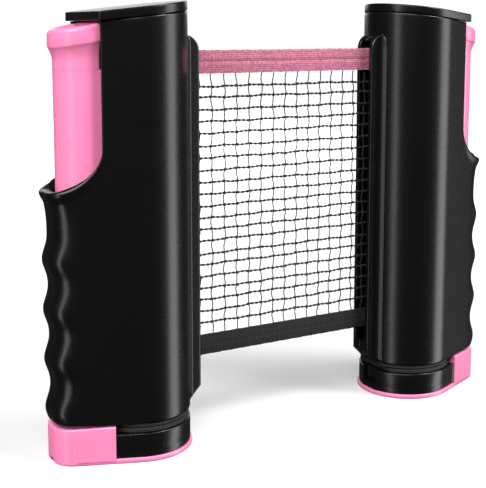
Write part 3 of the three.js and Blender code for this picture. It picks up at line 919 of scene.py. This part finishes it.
class NETPOST_OT_lids(bpy.types.Operator):
    """Slanting lids with a flat outer end"""

    bl_idname = "netpost.lids"
    bl_label = "Lids"

    def execute(self, context):
        p = sizes()
        end, end_v, corner = LID_END, LID_END_V, LID_CORNER
        angle = tangent_angle(p.barrel_r, end - corner, end_v - corner, corner)
        arc_angles = np.linspace(angle, 2 * math.pi - angle, 90)
        arc_points = p.barrel_r * np.column_stack([np.cos(arc_angles), np.sin(arc_angles)])
        turn = np.linspace(0, angle, 8)
        top = np.column_stack([end - corner + corner * np.cos(turn), end_v - corner + corner * np.sin(turn)])
        bottom = (top * (1, -1))[::-1]
        outline = np.concatenate([arc_points, bottom, top])
        normals = outline_normals(outline)
        under = lid_underside(outline[:, 0])
        part = slab(outline, normals, under, under + p.lid_thick, *LID_ROUNDS, 6)
        for word, side in SIDES:
            obj = mesh_object(f"{word}_slanted_lid", placed(part, side), finish("black_abs"))
            settle(obj, "black_abs", f"{word}_housing", f"{word}_top_lid")
        return {"FINISHED"}


# ---- clamp ----------------------------------------------------------------------------------


SLIDER_BACK = 20.0
SLIDER_WALL = 2.2
COLUMN_LEVELS = (2.4, 60, 120, 160.2)
NECK_LEVELS = (160.0, 161.6, 163.2)
NECK_RISE = 5.0             # height over which the column flares to the thumb rest
NECK_POWER = 1.7
SIDE_PROFILE = ((0.12, 168.5), (0.0, 169.2), (0.0, 171.6))     # how far inside the rim, and height
FLARE_SHORT = 0.35          # the flare stops this far inside the rim
TILT_Z = (160, 169)         # the tilt of the thumb rest sets in between these heights
HEAD_TOP = 175.4
SLIDER_SHARP_DEGREES = 50
HEAD_RIM = 1.7              # round of the thumb rest's rim
DISH_R = 10.8               # radius of the dish in the thumb rest
DISH_EDGE = 1.0             # how far its edge lies below the rim
DISH_SLANT = 2.2            # the width over which it falls to that edge
DISH_DEPTH = 0.9            # how much deeper its middle is than its edge


def slider_ring(radius, back, z, count=44):
    """The slider's half-round outline at one level, closed along its back with rounded corners."""
    p = sizes()
    corner = min(1.2, radius * 0.3)
    a = np.linspace(-math.pi / 2, math.pi / 2, count)
    front = np.column_stack([p.slider_u + radius * np.cos(a), radius * np.sin(a)])
    b = np.linspace(0, math.pi / 2, 6)
    upper = np.column_stack([back + corner - corner * np.sin(b), radius - corner + corner * np.cos(b)])
    lower = (upper * (1, -1))[::-1]
    ring = np.concatenate([front, upper, lower])
    return np.column_stack([ring, np.full(len(ring), z)])


def slider_column():
    """The hollow column: a half-round wall, open at its back, where the spring's shelf passes into it."""
    p = sizes()
    a = np.linspace(-math.pi / 2, math.pi / 2, 44)
    half_round = np.column_stack([np.cos(a), np.sin(a)])
    inside = p.slider_r - SLIDER_WALL
    outer = (p.slider_u, 0) + p.slider_r * half_round
    inner = ((p.slider_u, 0) + inside * half_round)[::-1]
    ends = [[(SLIDER_BACK, -p.slider_r)], outer, [(SLIDER_BACK, p.slider_r), (SLIDER_BACK, inside)], inner,
            [(SLIDER_BACK, -inside)]]
    outline = np.concatenate(ends)
    return loft(np.stack([np.column_stack([outline, np.full(len(outline), z)]) for z in COLUMN_LEVELS]))


def slider_part():
    """Column and thumb rest.

    The thumb rest is a stack of rings whose radius follows the profile: straight, flared by a power
    curve, rounded at the rim and dished on top. It is tilted towards the housing near the top.
    """
    p = sizes()
    radius, rim_r = p.slider_r, p.head_r - HEAD_RIM
    neck = NECK_LEVELS[-1]
    b = np.linspace(0, math.pi / 2, 8)
    a = np.linspace(0, 1, 9)[1:]
    profile = [(radius, z) for z in NECK_LEVELS]
    flare = p.head_r - FLARE_SHORT - radius
    profile += [(radius + flare * f ** NECK_POWER, neck + NECK_RISE * f) for f in a]
    profile += [(p.head_r - inside, z) for inside, z in SIDE_PROFILE]
    profile += [(rim_r + HEAD_RIM * math.cos(f), HEAD_TOP - HEAD_RIM + HEAD_RIM * math.sin(f)) for f in b]
    profile += [(rim_r - DISH_SLANT * f, HEAD_TOP - DISH_EDGE * f ** 1.6) for f in np.linspace(0, 1, 6)[1:]]
    profile += [(r, HEAD_TOP - DISH_EDGE - DISH_DEPTH * (1 - r / DISH_R)) for r in (9.0, 7.0, 5.0, 3.0)]
    rows = []
    reference = p.slider_u + p.head_r
    for ring_r, z in profile:
        inner = max(0.0, rim_r - ring_r) if z > HEAD_TOP - 2.2 else 0.0
        ring = slider_ring(ring_r, SLIDER_BACK + inner * 0.25, z)
        lift = float(smooth(z, *TILT_Z)) * p.head_slope
        ring[:, 2] += (reference - ring[:, 0]) * lift
        rows.append(ring)
    return joined([slider_column(), loft(np.stack(rows))])


class NETPOST_OT_sliders(bpy.types.Operator):
    """Pink sliders with their thumb rests"""

    bl_idname = "netpost.sliders"
    bl_label = "Sliders"

    def execute(self, context):
        for word, side in SIDES:
            part = placed(slider_part(), side)
            obj = mesh_object(f"{word}_thumb_slider", part, finish("pink_abs"), sharp=SLIDER_SHARP_DEGREES)
            settle(obj, "pink_abs", f"{word}_clamp", f"{word}_clamp_slider")
        return {"FINISHED"}


JAW_SPLIT = 18.4
FOOT_PROUD = 0.8            # how far the pink foot stands proud of the black block
FOOT_CORNER = (2.2, 8.7)    # its corner circle: offset from the net plane, and radius
FOOT_WALL = 4.0
FOOT_WALL_ROUND = 0.6
FOOT_WALL_FALL = 0.4        # how much its top falls towards the outer end
PLATE_Z = (0.0, 2.0)
PLATE_ROUNDS = (0.7, 0.5)
BLOCK_GAP = 0.3             # between the block and the pink wall
BLOCK_NOSE_V = 4.0          # half the width of the block's nose on the net side
BLOCK_NOSE = (-20.0, 4.4)   # the barrel's arc is left out beyond this u and inside this v
BLOCK_STOREYS = ((-21.6, 2.05, 5.0, 0.1), (-19.0, 4.8, 12.0, 0.45))    # nose, low, high, upper round


def jaw_plan(grow):
    """Outline of the foot: the barrel's circle drawn in to two corner circles."""
    p = sizes()
    offset, radius = FOOT_CORNER
    return Plan(p.barrel_r + grow, float(JAW_HIGH[0]) - AXIS_X - FOOT_PROUD + grow, offset, radius + grow)


def jaw_wall():
    """The wall round the outer end of the foot, as a closed band with a rounded top that falls outwards."""
    plan = jaw_plan(FOOT_PROUD)
    start = plan.s_at_u(JAW_SPLIT)
    s = np.linspace(start, 2 * plan.length - start, 90)
    mirrored = s > plan.length
    u, v, nu, nv = plan.at(np.where(mirrored, 2 * plan.length - s, s))
    v, nv = np.where(mirrored, -v, v), np.where(mirrored, -nv, nv)
    wall, radius = FOOT_WALL, FOOT_WALL_ROUND
    top = float(JAW_HIGH[2]) - FOOT_WALL_FALL * smooth(u, 22, 38)
    rows = []

    def row(z, inset):
        rows.append(np.column_stack([u - nu * inset, v - nv * inset, z]))

    arc_steps = quarter(radius, 6)
    heights = (0.9, 1.0)
    for z in heights:
        row(np.full(len(s), z), 0.0)
    for step in np.linspace(0, 1, 8)[1:]:
        row(1 + (top - radius - 1) * step, 0.0)
    for d, inset in arc_steps[1:]:
        row(top - d, inset)
    for d, inset in arc_steps[::-1][:-1]:
        row(top - d, wall - inset)
    for step in np.linspace(0, 1, 8)[1:][::-1]:
        row(1 + (top - radius - 1) * step, wall)
    for z in reversed(heights):
        row(np.full(len(s), z), wall)
    return sheet_solid(np.stack(rows))


def foot_plate():
    """The thin plate under the whole post, with rounded edges."""
    outline, normals = closed_outline(jaw_plan(FOOT_PROUD), 90)
    return slab(outline, normals, *PLATE_Z, *PLATE_ROUNDS, 6)


def jaw_block_part():
    """The black block on the plate, in two storeys.

    Each is the foot's outline cut square at the pink wall, with a flat nose on the net side that stands
    further back in the upper storey.
    """
    outline, _ = closed_outline(jaw_plan(0.0), 90)
    u, v = outline[:, 0], outline[:, 1]
    cut = JAW_SPLIT - BLOCK_GAP
    keep = outline[(u < cut - 0.1) & ((u > BLOCK_NOSE[0]) | (np.abs(v) > BLOCK_NOSE[1]))]
    keep = keep[np.argsort(np.arctan2(keep[:, 1], keep[:, 0]))]
    beside_cut = keep[keep[:, 0] > 17][:, 1]
    end = [[cut, beside_cut.min()], [cut, beside_cut.max()]]
    upper = keep[keep[:, 1] > 0]
    lower = keep[keep[:, 1] < 0]
    storeys = []
    for nose_u, z_low, z_high, edge in BLOCK_STOREYS:
        nose = [[nose_u, BLOCK_NOSE_V], [nose_u, -BLOCK_NOSE_V]]
        dense = resampled(np.concatenate([end, upper, nose, lower]), 0.35)
        storeys.append(slab(dense, outline_normals(dense), z_low, z_high, 0.1, edge, 5))
    return joined(storeys)


def resampled(points, step):
    """A closed polygon with points every step along it."""
    loop = np.concatenate([points, points[:1]])
    length = np.concatenate([[0], np.cumsum(np.linalg.norm(np.diff(loop, axis=0), axis=1))])
    stations = np.linspace(0, length[-1], int(length[-1] / step), endpoint=False)
    return np.column_stack([np.interp(stations, length, loop[:, k]) for k in (0, 1)])


class NETPOST_OT_feet(bpy.types.Operator):
    """Pink lower jaws and the black blocks on them"""

    bl_idname = "netpost.feet"
    bl_label = "Lower jaws"

    def execute(self, context):
        for word, side in SIDES:
            foot = placed(joined([foot_plate(), jaw_wall()]), side)
            jaw = mesh_object(f"{word}_pink_foot", foot, finish("pink_abs"))
            settle(jaw, "pink_abs", f"{word}_clamp", f"{word}_lower_jaw")
            block = mesh_object(f"{word}_foot_block", placed(jaw_block_part(), side), finish("black_abs"))
            settle(block, "black_abs", f"{word}_clamp", f"{word}_jaw_block")
        return {"FINISHED"}


PAD_INSET = 0.6
PAD_GAP = 0.8               # between a pad and the pink wall
PAD_ARC_V = 14.0            # where the pad's arc starts, from the net plane
PAD_END_V = 13.6            # half the width of its flat end
PAD_ROUND = 0.25


def pad_part(node_name, inset):
    """A rubber pad: the barrel's circle cut square towards the grip and, where the pad ends, to the net."""
    p = sizes()
    low, high = box_mm(node_name)
    radius, end = p.barrel_r - inset, JAW_SPLIT - PAD_GAP
    net_end = float(low[0]) - AXIS_X
    first = math.atan2(PAD_ARC_V, math.sqrt(radius ** 2 - PAD_ARC_V ** 2))
    a = np.linspace(first, 2 * math.pi - first, 120)
    circle = radius * np.column_stack([np.cos(a), np.sin(a)])
    circle = circle[circle[:, 0] > net_end]
    upper, lower = circle[circle[:, 1] > 0], circle[circle[:, 1] < 0]
    outline = np.concatenate([[[end, -PAD_END_V], [end, PAD_END_V]], upper, lower])
    dense = resampled(outline, 0.5)
    return slab(dense, outline_normals(dense), float(low[2]), float(high[2]), PAD_ROUND, PAD_ROUND, 4)


class NETPOST_OT_pads(bpy.types.Operator):
    """Rubber pads of the upper and lower jaws"""

    bl_idname = "netpost.pads"
    bl_label = "Jaw pads"

    def execute(self, context):
        for word, side in SIDES:
            for level, body in (("upper", "housing"), ("lower", "clamp")):
                part = pad_part(f"right_{level}_jaw_pad", PAD_INSET)
                obj = mesh_object(f"{word}_{level}_rubber_pad", placed(part, side), finish("rubber_pad"))
                settle(obj, "rubber_pad", f"{word}_{body}", f"{word}_{level}_jaw_pad")
        return {"FINISHED"}


COIL_R = 4.2
COIL_TURNS = 11
COIL_WIRE = 1.1
END_COIL = (0.09, 0.18)     # share of the wire in a closed end, and its climb beside that of the open coils


def helix_tube(centre_u, radius, low, high, turns, wire, per_turn=28, sides=10):
    """Round wire along a helix that climbs slowly at both ends, where its coils close.

    The ring at each step is spanned by the outward and the binormal direction.
    """
    count = int(turns * per_turn) + 1
    t = np.linspace(0, 1, count)
    angle = 2 * math.pi * turns * t
    share, slow = END_COIL
    rate = smooth(t, 0, share) * (1 - smooth(t, 1 - share, 1)) * (1 - slow) + slow
    climb = np.concatenate([[0], np.cumsum((rate[1:] + rate[:-1]) / 2)])
    z = low + wire / 2 + (high - low - wire) * climb / climb[-1]
    outward = np.stack([np.cos(angle), np.sin(angle), np.zeros(count)], axis=1)
    path = radius * outward + np.column_stack([np.full(count, centre_u), np.zeros(count), z])
    tangent = np.gradient(path, axis=0)
    tangent /= np.linalg.norm(tangent, axis=1, keepdims=True)
    binormal = np.cross(tangent, outward)
    ring = np.linspace(0, 2 * math.pi, sides, endpoint=False)
    grid = (path[:, None] + wire / 2 * (np.cos(ring)[None, :, None] * outward[:, None]
            + np.sin(ring)[None, :, None] * binormal[:, None]))
    return loft(grid)


class NETPOST_OT_springs(bpy.types.Operator):
    """Clamp springs, built at one length; nothing here shortens them as a thumb rest is pressed"""

    bl_idname = "netpost.springs"
    bl_label = "Clamp springs"

    def execute(self, context):
        for word, side in SIDES:
            part = helix_tube(
                SPRING_U, COIL_R, SPRING_LOW[2], SPRING_HIGH[2], COIL_TURNS, COIL_WIRE,
            )
            obj = mesh_object(f"{word}_coil_spring", placed(part, side), finish("steel"))
            settle(obj, "steel", f"{word}_housing", f"{word}_clamp_spring")
            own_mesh(obj)
        return {"FINISHED"}


# ---- net ------------------------------------------------------------------------------------

NET_END = float(TAPE_HIGH[0])   # the exposed net ends this far from the middle, inside the slots
WAVE_SEED = 7
HEAD_SEED, FOOT_SEED = 3, 4
CHAIN_R = 0.42              # mean radius of a chained row
UPRIGHT_R = 0.27            # mean radius of an upright thread


def thread(path, radius, up, sides):
    """A thread along a path: rings in the plane of up and of the direction across the net."""
    tangent = np.gradient(path, axis=0)
    tangent /= np.linalg.norm(tangent, axis=1, keepdims=True)
    across = np.cross(tangent, up)
    across /= np.linalg.norm(across, axis=1, keepdims=True)
    over = np.cross(across, tangent)
    ring = np.linspace(0, 2 * math.pi, sides, endpoint=False)
    grid = (path[:, None] + radius[:, None, None] * (
        np.cos(ring)[None, :, None] * over[:, None] + np.sin(ring)[None, :, None] * across[:, None]))
    return loft(grid)


def thread_face(path, radius):
    """Half the surface of a thread in square metres: pi times its radius, summed along its path."""
    steps = np.linalg.norm(np.diff(path, axis=0), axis=1)
    return float(np.sum(math.pi * radius[1:] * steps)) * MM * MM


def ripple(along, height, length, phase):
    """A sine wave of a height and a length in millimetres."""
    return height * np.sin(2 * math.pi * along / length + phase)


def net_lines():
    """Heights of the rows and places of the upright threads, each a little off its even place."""
    p = sizes()
    rng = np.random.default_rng(WAVE_SEED)
    low, high = float(FOOT_HIGH[2]), float(TAPE_LOW[2])
    rows = np.linspace(low, high, p.cell_rows + 1)[1:-1]
    rows = rows + rng.uniform(-0.35, 0.35, len(rows))
    uprights = np.arange(-NET_END + 3.0, NET_END - 1.0, p.thread_pitch_x)
    return rows, uprights, rng


def net_mesh_part():
    """Knotted mesh: thick chained rows and thin wavy uprights, with a knot swelling at each crossing.

    Also gives the thread's area in square metres, counted as one layer of a sheet that is mostly holes.
    """
    rows, uprights, rng = net_lines()
    pitch = sizes().thread_pitch_x
    parts, area = [], 0.0
    x = np.arange(-NET_END, NET_END + 0.01, 0.55)
    beat = (x - uprights[0]) / pitch
    for z in rows:
        phase = rng.uniform(0, 2 * math.pi, 4)
        sag = ripple(x, 0.16, 41, phase[0]) + ripple(x, 0.13, 13, phase[1])
        kink = 0.22 * np.abs(np.sin(math.pi * beat)) * math.sin(phase[3])
        chain = CHAIN_R + 0.17 * np.cos(2 * math.pi * x / 2.3 + phase[2])
        knot = 0.20 * np.exp(-((beat - np.round(beat)) * pitch / 0.7) ** 2)
        path = np.column_stack([x, ripple(x, 0.10, 1.65, 0.0), z + sag + kink])
        parts.append(thread(path, chain + knot, np.array([0.0, 0.0, 1.0]), 7))
        area += thread_face(path, chain + knot)
    low, high = float(FOOT_HIGH[2]) - 1.0, float(TAPE_LOW[2]) + 1.0
    z = np.arange(low, high, 0.8)
    for place in uprights:
        phase = rng.uniform(0, 2 * math.pi, 3)
        sway = ripple(z, 0.32, 10.6, phase[0]) + ripple(z, 0.22, 31, phase[1])
        path = np.column_stack([place + sway, ripple(z, 0.12, 5.3, phase[2]), z])
        radius = UPRIGHT_R + ripple(z, 0.04, 1.9, phase[0])
        parts.append(thread(path, radius, np.array([1.0, 0.0, 0.0]), 6))
        area += thread_face(path, radius)
    return joined(parts), area


TAPE_LAYER = 0.34           # thickness of one layer of tape
TAPE_GAP = 0.42             # from the net plane to the middle of a layer
FOLD_ARC = 9


def fold_line(height):
    """Middle line of a folded strip in (across, up): up one leg, round the fold and down the other leg."""
    leg = np.linspace(0, height - TAPE_GAP - TAPE_LAYER / 2, 26)
    turn = np.linspace(math.pi, 0, FOLD_ARC)[1:-1]
    up = np.column_stack([np.full(len(leg), -TAPE_GAP), leg])
    over = np.column_stack([TAPE_GAP * np.cos(turn), leg[-1] + TAPE_GAP * np.sin(turn)])
    return np.concatenate([up, over, (up * (-1, 1))[::-1]])


def developed_width(height):
    """Width of the strip before it was folded: the length of its middle line."""
    return float(np.sum(np.linalg.norm(np.diff(fold_line(height), axis=0), axis=1)))


def tape_part(low, high, reach, fold_up, seam, seed):
    """A strip folded double over the mesh's edge, as a closed band whose two cut edges face the mesh.

    The layers are the middle line plus and minus half the layer along its normal. They draw in at the
    stitched row by a bell curve, and short sine waves along x break up their faces.
    """
    rng = np.random.default_rng(seed)
    height = high - low
    line = fold_line(height)
    tangent = np.gradient(line, axis=0)
    tangent /= np.linalg.norm(tangent, axis=1, keepdims=True)
    normal = np.column_stack([-tangent[:, 1], tangent[:, 0]])
    loop = np.concatenate([line + normal * TAPE_LAYER / 2, (line - normal * TAPE_LAYER / 2)[::-1]])
    x = np.arange(-reach, reach + 0.01, 0.5)
    phases = rng.uniform(0, 2 * math.pi, 4)
    waves = sum(ripple(x, 1.0, length, phases[i]) for i, length in enumerate((3.1, 1.9, 7.3)))[:, None]
    share = loop[:, 1] / height
    pinch = 1 - seam * np.exp(-((share - 0.5) / 0.07) ** 2)
    belly = 1 + 0.35 * np.sin(math.pi * np.clip(share, 0, 1)) ** 2
    y = loop[None, :, 0] * pinch * belly * (1 + 0.03 * waves)
    up = loop[None, :, 1] + 0.05 * waves
    z = low + up if fold_up else high - up
    grid = np.stack([np.broadcast_to(x[:, None], y.shape), y, np.broadcast_to(z, y.shape)], axis=-1)
    return loft(grid)


class NETPOST_OT_net(bpy.types.Operator):
    """The stretch of net between the posts, with its head tape and foot tape"""

    bl_idname = "netpost.net"
    bl_label = "Net"

    def execute(self, context):
        top = (float(TAPE_LOW[2]), float(TAPE_HIGH[2]))
        foot = (float(FOOT_LOW[2]), float(FOOT_HIGH[2]))
        mesh_part, thread_area = net_mesh_part()
        mesh = mesh_object("net_knotted_mesh", mesh_part, finish("net_thread"))
        head_part = tape_part(*top, NET_END, True, 0.45, HEAD_SEED)
        head = mesh_object("net_head_tape", head_part, finish("tape_pink"))
        foot_part = tape_part(*foot, NET_END, False, 0.2, FOOT_SEED)
        hem = mesh_object("net_foot_tape", foot_part, finish("tape_black"))
        pieces = (
            (mesh, "net_thread", "net_mesh", top[0] - foot[1], thread_area),
            (head, "tape_pink", "net_top_tape", developed_width(top[1] - top[0]), None),
            (hem, "tape_black", "net_bottom_tape", developed_width(foot[1] - foot[0]), None),
        )
        for piece, slot, replaced, width, area in pieces:
            settle(piece, slot, None, replaced)
            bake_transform(piece)
        return {"FINISHED"}


class NETPOST_OT_inner_parts(bpy.types.Operator):
    """Finishes of the screws, reels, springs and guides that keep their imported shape"""

    bl_idname = "netpost.inner_parts"
    bl_label = "Inner parts"

    def execute(self, context):
        slots = {s["node"]: s["material_slot"] for s in frame["record"]["subparts"]}
        replaced = ("shell", "lid", "slider", "lower_jaw", "jaw_block", "jaw_pad", "clamp_spring", "net_")
        for name, obj in frame["nodes"].items():
            is_replaced = any(word in name for word in replaced)
            if not is_replaced or "screw" in name or name.endswith("wound_net"):
                obj.data.materials.clear()
                obj.data.materials.append(finish(slots[name]))
        return {"FINISHED"}


# ---- stage ----------------------------------------------------------------------------------

FLOOR_GLOW = (0.30, 1.0)    # light added to the floor, near and far, which hides the horizon
FLOOR_GLOW_AT = (0.22, 1.1)     # the distances in metres between which it grows
AMBIENT = 0.05              # how bright the white surroundings are to everything but the camera
CAMERA_AT = (-259.5, -397.1, 176.2)
CAMERA_HEADING = 31.02      # degrees from +Y towards +X
CAMERA_PITCH = 7.66
CAMERA_LENS = 78.2
CAMERA_SHIFT = (0.0, -0.15)
FLOOR_HALF = 8.0            # metres
FLOOR_Z = -0.05             # just under the feet, in millimetres
# Each lamp's compass angle, distance and height, the height of the point it faces, its width, its
# other side and its power, in metres and watts.
LAMPS = {
    "strip_right": (-32, 1.1, 0.05, 0.05, 0.48, 1.7, 10),
    "strip_left": (199, 1.2, 0.05, 0.05, 0.24, 1.5, 3.6),
    "fill_left": (192, 1.2, 0.35, 0.09, 0.9, 0.9, 4),
    "key_left": (216, 1.1, 1.2, 0.1, 1.5, 1.1, 31),
    "key_right": (-48, 1.1, 1.2, 0.0, 0.6, 0.6, 22),
    "back": (62, 1.6, 0.5, 0.15, 2.0, 0.6, 6),
}
UNMIRRORED_LAMP = "fill_left"       # lifts the dark side without a highlight of its own


def floor_material():
    """Seamless paper: matt, almost white, with very faint fibre."""
    material, tree, shader, coords = new_material("paper_white_matt")
    fibre = noise(tree, coords, 0.02)
    tint = mixed(tree, ranged(tree, fibre, 0, 1), shade(colours().floor, 0.985), colours().floor)
    tree.links.new(tint, shader.inputs["Base Color"])
    shader.inputs["Roughness"].default_value = 0.95
    shader.inputs["Specular IOR Level"].default_value = 0.1
    away = node(tree, "ShaderNodeVectorMath", [(0, coords)], operation="LENGTH")
    glow = ranged(tree, away.outputs["Value"], *FLOOR_GLOW, *FLOOR_GLOW_AT)
    shader.inputs["Emission Color"].default_value = (1, 1, 1, 1)
    tree.links.new(glow, shader.inputs["Emission Strength"])
    return material


def area_light(name, at, target, width, height, watts):
    """A rectangular lamp at a point in metres, facing a target."""
    data = bpy.data.lights.new(name, "AREA")
    data.shape, data.size, data.size_y = "RECTANGLE", width, height
    data.energy = watts
    obj = bpy.data.objects.new(name, data)
    obj.location = at
    obj.rotation_euler = (Vector(target) - Vector(at)).to_track_quat("-Z", "Y").to_euler()
    obj.visible_camera = False
    bpy.context.scene.collection.objects.link(obj)
    return obj


def heading_point(degrees, distance, height):
    """A point at a compass angle (0 is +X, 90 is +Y) and a distance from the upright through the middle."""
    a = math.radians(degrees)
    return (distance * math.cos(a), distance * math.sin(a), height)


class NETPOST_OT_stage(bpy.types.Operator):
    """Floor, soft lamps, world and camera"""

    bl_idname = "netpost.stage"
    bl_label = "Stage"

    def execute(self, context):
        corners = FLOOR_HALF * np.array([(-1, -1), (1, -1), (1, 1), (-1, 1)]) / MM
        corners = np.column_stack([corners, np.full(4, FLOOR_Z)])
        floor = mesh_object("floor", (corners, [[0, 1, 2, 3]]), floor_material())
        for ray in ("diffuse", "glossy", "shadow", "transmission"):
            setattr(floor, f"visible_{ray}", False)
        for name, (degrees, distance, height, target_z, *shape_and_power) in LAMPS.items():
            at = heading_point(degrees, distance, height)
            lamp = area_light(name, at, (0, 0, target_z), *shape_and_power)
            lamp.visible_glossy = name != UNMIRRORED_LAMP
        context.scene.view_settings.view_transform = "Standard"
        self.world()
        self.camera()
        return {"FINISHED"}

    def world(self):
        """White to the camera and softer to the object, so that the black plastic keeps its depth."""
        world = bpy.data.worlds.new("studio")
        bpy.context.scene.world = world
        world.use_nodes = True
        tree = world.node_tree
        background = tree.nodes["Background"]
        background.inputs["Color"].default_value = (1, 1, 1, 1)
        path = node(tree, "ShaderNodeLightPath")
        strength = node(tree, "ShaderNodeMapRange", [("Value", path.outputs["Is Camera Ray"])],
                        in_To_Min=AMBIENT, in_To_Max=1.05)
        tree.links.new(strength.outputs["Result"], background.inputs["Strength"])

    def camera(self):
        """Looks along the heading and tipped down. The shift leaves upright edges leaning in a little."""
        data = bpy.data.cameras.new("camera")
        data.lens, data.sensor_width = CAMERA_LENS, 36.0
        data.shift_x, data.shift_y = CAMERA_SHIFT
        data.clip_start, data.clip_end = 0.01, 50.0
        obj = bpy.data.objects.new("camera", data)
        obj.location = Vector(CAMERA_AT) * MM
        obj.rotation_euler = (math.radians(90 - CAMERA_PITCH), 0, math.radians(-CAMERA_HEADING))
        bpy.context.scene.collection.objects.link(obj)
        bpy.context.scene.camera = obj


OPERATORS = (
    NETPOST_OT_stage,
    NETPOST_OT_shells,
    NETPOST_OT_lids,
    NETPOST_OT_sliders,
    NETPOST_OT_feet,
    NETPOST_OT_pads,
    NETPOST_OT_springs,
    NETPOST_OT_net,
    NETPOST_OT_inner_parts,
)


class NETPOST_PT_panel(bpy.types.Panel):
    """Lists the steps that build the posts"""

    bl_label = "Net posts"
    bl_idname = "NETPOST_PT_panel"
    bl_space_type = "VIEW_3D"
    bl_region_type = "UI"
    bl_category = "Net posts"

    def draw(self, context):
        for operator in OPERATORS:
            self.layout.operator(operator.bl_idname)


CLASSES = (NetPostSizes, NetPostColours, *OPERATORS, NETPOST_PT_panel)


def register():
    for cls in CLASSES:
        bpy.utils.register_class(cls)
    bpy.types.Scene.net_post_sizes = PointerProperty(type=NetPostSizes)
    bpy.types.Scene.net_post_colours = PointerProperty(type=NetPostColours)


def unregister():
    del bpy.types.Scene.net_post_colours
    del bpy.types.Scene.net_post_sizes
    for cls in reversed(CLASSES):
        bpy.utils.unregister_class(cls)


def main():
    """Builds every piece in order."""
    register()
    for operator in OPERATORS:
        group, name = operator.bl_idname.split(".")
        getattr(getattr(bpy.ops, group), name)()


if __name__ == "__main__":
    main()
